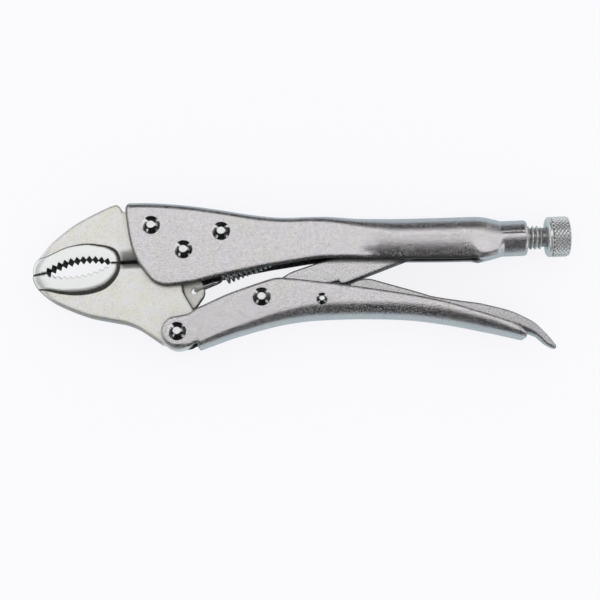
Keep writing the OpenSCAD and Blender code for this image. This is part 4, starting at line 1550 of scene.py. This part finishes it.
# Painted shade darkens the grooves of the thread, so the crests stand out against them.
shaded_grooves = tree.add("GeometryNodeStoreNamedAttribute", {"data_type": "FLOAT", "domain": "POINT"}, {
    "Geometry": flat, "Name": "soot", "Value": groove * 0.6})
thread = turned(tree, shaded_grooves, x, radius, around * (2 * math.pi))
thread_growth = close_growth(tree, thread, size)
screw_mesh = grow("adjusting_screw_thread", thread_growth, screw_steel)
set_in_place(screw_mesh, (0, SCREW_Y, 0))
dress(evened(screw_mesh), "adjusting_screw", "knob", screw_steel)

# %% [markdown]
# ## The knurled knob
# Two wheels press crossing grooves into the knob and leave a net of small diamonds. The knob is a
# turned blank with one diamond instanced at every crossing of a staggered lattice.

# %% Knob
KNOB_RADIUS = 9.4
COLLAR = 2.0
KNURL_DEPTH = 0.50
KNURL_ROWS = 9
KNURL_COLUMNS = 26

knob_profile = np.array([
    [KNOB_START + 1.9, 4.9], [KNOB_START + 0.4, 5.4], [KNOB_START, 6.2]]
    + [[KNOB_START + 1.5 - 1.5 * math.cos(a), KNOB_RADIUS - 1.5 + 1.5 * math.sin(a)]
       for a in np.radians(np.arange(0, 91, 15))]
    + [[KNOB_START + COLLAR - 0.25, KNOB_RADIUS], [KNOB_START + COLLAR, KNOB_RADIUS - 0.25],
       [KNOB_START + COLLAR + 0.25, KNOB_RADIUS - KNURL_DEPTH]]
    + [[KNOB_END - 1.7 + 1.7 * math.sin(a), KNOB_RADIUS - KNURL_DEPTH - 1.7 + 1.7 * math.cos(a)]
       for a in np.radians(np.arange(0, 91, 15))]
    + [[KNOB_END, 4.0], [KNOB_END - 0.5, 3.4], [KNOB_END - 0.5, 0.0]])
knob_profile = np.vstack([[[KNOB_START + 1.9, 0.0]], knob_profile])


def lathe(name, profile, painted_dark, turns=72):
    """Turns a profile of (x, radius) round the screw's axis, with painted shade on each of its points."""
    angle = np.linspace(0, 2 * math.pi, turns, endpoint=False)
    cos, sin = np.cos(angle), np.sin(angle)
    rings = [np.column_stack([np.full(turns, x), r * cos, r * sin]) for x, r in profile]
    faces = []
    for row in range(len(profile) - 1):
        for i in range(turns):
            here, there = row * turns, (row + 1) * turns
            onward = (i + 1) % turns
            faces.append((here + i, here + onward, there + onward, there + i))
    return make_mesh(name, np.vstack(rings) + [0, SCREW_Y, 0], faces, {"soot": np.repeat(painted_dark, turns)})


profile_x, profile_radius = knob_profile.T
grooved = (profile_x > KNOB_START + COLLAR) & (profile_x < KNOB_END - 0.3)
grooved &= profile_radius > 0.6 * KNOB_RADIUS
# The blank under the knurl gets painted shade, which shows between the diamonds.
knob_blank = lathe("knob_blank", knob_profile, 0.75 * grooved)
print("the turned blank has", len(knob_blank.polygons), "faces")

# %% Knurl
tree, size = new_growth("knurl_growth", {
    "Start": KNOB_START + COLLAR, "End": KNOB_END, "Radius": KNOB_RADIUS,
    "Depth": KNURL_DEPTH, "Rows": KNURL_ROWS, "Columns": KNURL_COLUMNS})
count = size["Rows"] * size["Columns"]
points = tree.add("GeometryNodePoints", inputs={"Count": count})
index = tree.add("GeometryNodeInputIndex")
row = (index / size["Columns"]).math("FLOOR", index / size["Columns"])
column = index - row * size["Columns"]
odd = row.math("MODULO", row, 2.0)
step = (size["End"] - size["Start"]) / (size["Rows"] + 1.0)
x = size["Start"] + (row + 1.0) * step
turn = (column + odd * 0.5) / size["Columns"] * (2 * math.pi)
fall = part_way(x, size["End"] - 1.9, size["End"])
radius = size["Radius"] - size["Depth"] - fall * fall * 1.25
where = tree.add("ShaderNodeCombineXYZ", inputs={
    "X": x, "Y": radius * turn.math("COSINE", turn), "Z": radius * turn.math("SINE", turn)})
placed = tree.add("GeometryNodeSetPosition", inputs={"Geometry": points, "Position": where})
diamond = tree.add("GeometryNodeMeshCone", inputs={
    "Vertices": 4, "Radius Top": 0.48, "Radius Bottom": 1.0, "Depth": 1.0})
width = (size["Radius"] * math.pi) / size["Columns"]
shape = tree.add("ShaderNodeCombineXYZ", inputs={"X": step * 0.92, "Y": width * 0.92, "Z": size["Depth"]})
spin = tree.add("ShaderNodeCombineXYZ", inputs={"X": turn - math.pi / 2})
net = tree.add("GeometryNodeInstanceOnPoints", inputs={
    "Points": placed, "Instance": diamond, "Rotation": spin, "Scale": shape})
knurl_growth = close_growth(tree, net, size)
knurl_mesh = grow("knurl", knurl_growth, screw_steel)
knurl_mesh.transform(Matrix.Translation(Vector(place((0, SCREW_Y, 0)))) @ Matrix.Scale(MM, 4))
knob_mesh = join_meshes("screw_knob_knurled", [knob_blank, knurl_mesh])
dress(knob_mesh, "screw_knob", "knob", screw_steel)

# %% [markdown]
# ## The return spring
# The wire's middle line is worked out in one go: a hook through the lug's eye, the coil, and the
# straight end through the tongue. The tree then sweeps a round section along it.

# %% Line of the wire
WIRE = 1.2
COIL_RADIUS = 2.3
COIL_TURNS = 13
COIL_STEPS = 20
COIL_POINTS = COIL_TURNS * COIL_STEPS
COIL_START = 15.6
COIL_END = 45.0
HOOK_GAP = 0.3
along_spring = np.array([*spring_way, 0.0])
beside_spring = np.array([-spring_way[1], spring_way[0], 0.0])


def on_spring(reach, angle, radius):
    """A point at a distance from the lug's eye, turned round the spring's middle line."""
    turn = math.radians(angle)
    off = radius * (math.cos(turn) * beside_spring + math.sin(turn) * np.array([0, 0, 1]))
    return np.array([*LUG_EYE, 0.0]) + reach * along_spring + off


leg = HALF_LUG + WIRE / 2 + HOOK_GAP
bend = 0.75 * WIRE
hook_start = 1.5 - WIRE / 2 - HOOK_GAP
quarter = np.radians(np.linspace(0, 90, 6))
front_hook = [on_spring(COIL_START - 5, 90, 0.92 * leg), on_spring(hook_start + bend + 4.5, 90, leg)]
front_hook += [on_spring(hook_start + bend * (1 - math.sin(a)), 90, leg - bend * (1 - math.cos(a)))
               for a in quarter]
front_hook += [on_spring(hook_start + bend * (1 - math.sin(a)), 90, -leg + bend * (1 - math.cos(a)))
               for a in quarter[::-1]]
front_hook += [on_spring(hook_start + bend + 3, 90, -leg)]
lead_in = smooth([
    on_spring(COIL_START - 4.6, 90, -leg), on_spring(COIL_START - 2.4, -85, COIL_RADIUS),
    on_spring(COIL_START - 0.7, -40, COIL_RADIUS), on_spring(COIL_START, 0, COIL_RADIUS)], 6)[:-1]
coil = [
    on_spring(COIL_START + (COIL_END - COIL_START) * i / COIL_POINTS, 360 * i / COIL_STEPS, COIL_RADIUS)
    for i in range(COIL_POINTS + 1)]
lead_out = smooth([
    on_spring(COIL_END, 0, COIL_RADIUS), on_spring(COIL_END + 0.6, 40, COIL_RADIUS),
    on_spring(COIL_END + 1.6, 85, 0.7 * COIL_RADIUS), on_spring(COIL_END + 3, 90, 0),
    on_spring(SPRING_REACH - SHEET, 90, 0)], 6)[1:]
rear_hook = [on_spring(SPRING_REACH + SHEET + bend * math.sin(a), 90, bend * (1 - math.cos(a)))
             for a in quarter] + [on_spring(SPRING_REACH + SHEET + bend, 90, bend + 1.6)]
wire_line = np.vstack([front_hook, lead_in, coil, lead_out, rear_hook])
wire_length = np.linalg.norm(np.diff(wire_line, axis=0), axis=1).sum()
print(f"the wire is {wire_length:.0f} mm long")

# %% Return spring
tree, size = new_growth("wire_growth", {"Wire": WIRE})
path = tree.add("GeometryNodeMeshToCurve", inputs={"Mesh": size["Geometry"]})
section = tree.add("GeometryNodeCurvePrimitiveCircle", {"mode": "RADIUS"}, {
    "Resolution": 10, "Radius": size["Wire"] / 2})
swept = tree.add("GeometryNodeCurveToMesh", inputs={
    "Curve": path, "Profile Curve": section, "Fill Caps": True})
wire_growth = close_growth(tree, swept, size)
line_mesh = bpy.data.meshes.new("wire_line")
line_mesh.from_pydata(wire_line.tolist(), [(i, i + 1) for i in range(len(wire_line) - 1)], [])
spring_mesh = set_in_place(grow("return_spring_wire", wire_growth, spring_wire, base=line_mesh), (0, 0, 0))
spring = dress(spring_mesh, "return_spring", None, spring_wire)
coil_rear = place(on_spring(COIL_END, 0, 0))
coil_front = place(on_spring(COIL_START, 0, 0))
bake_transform(spring)
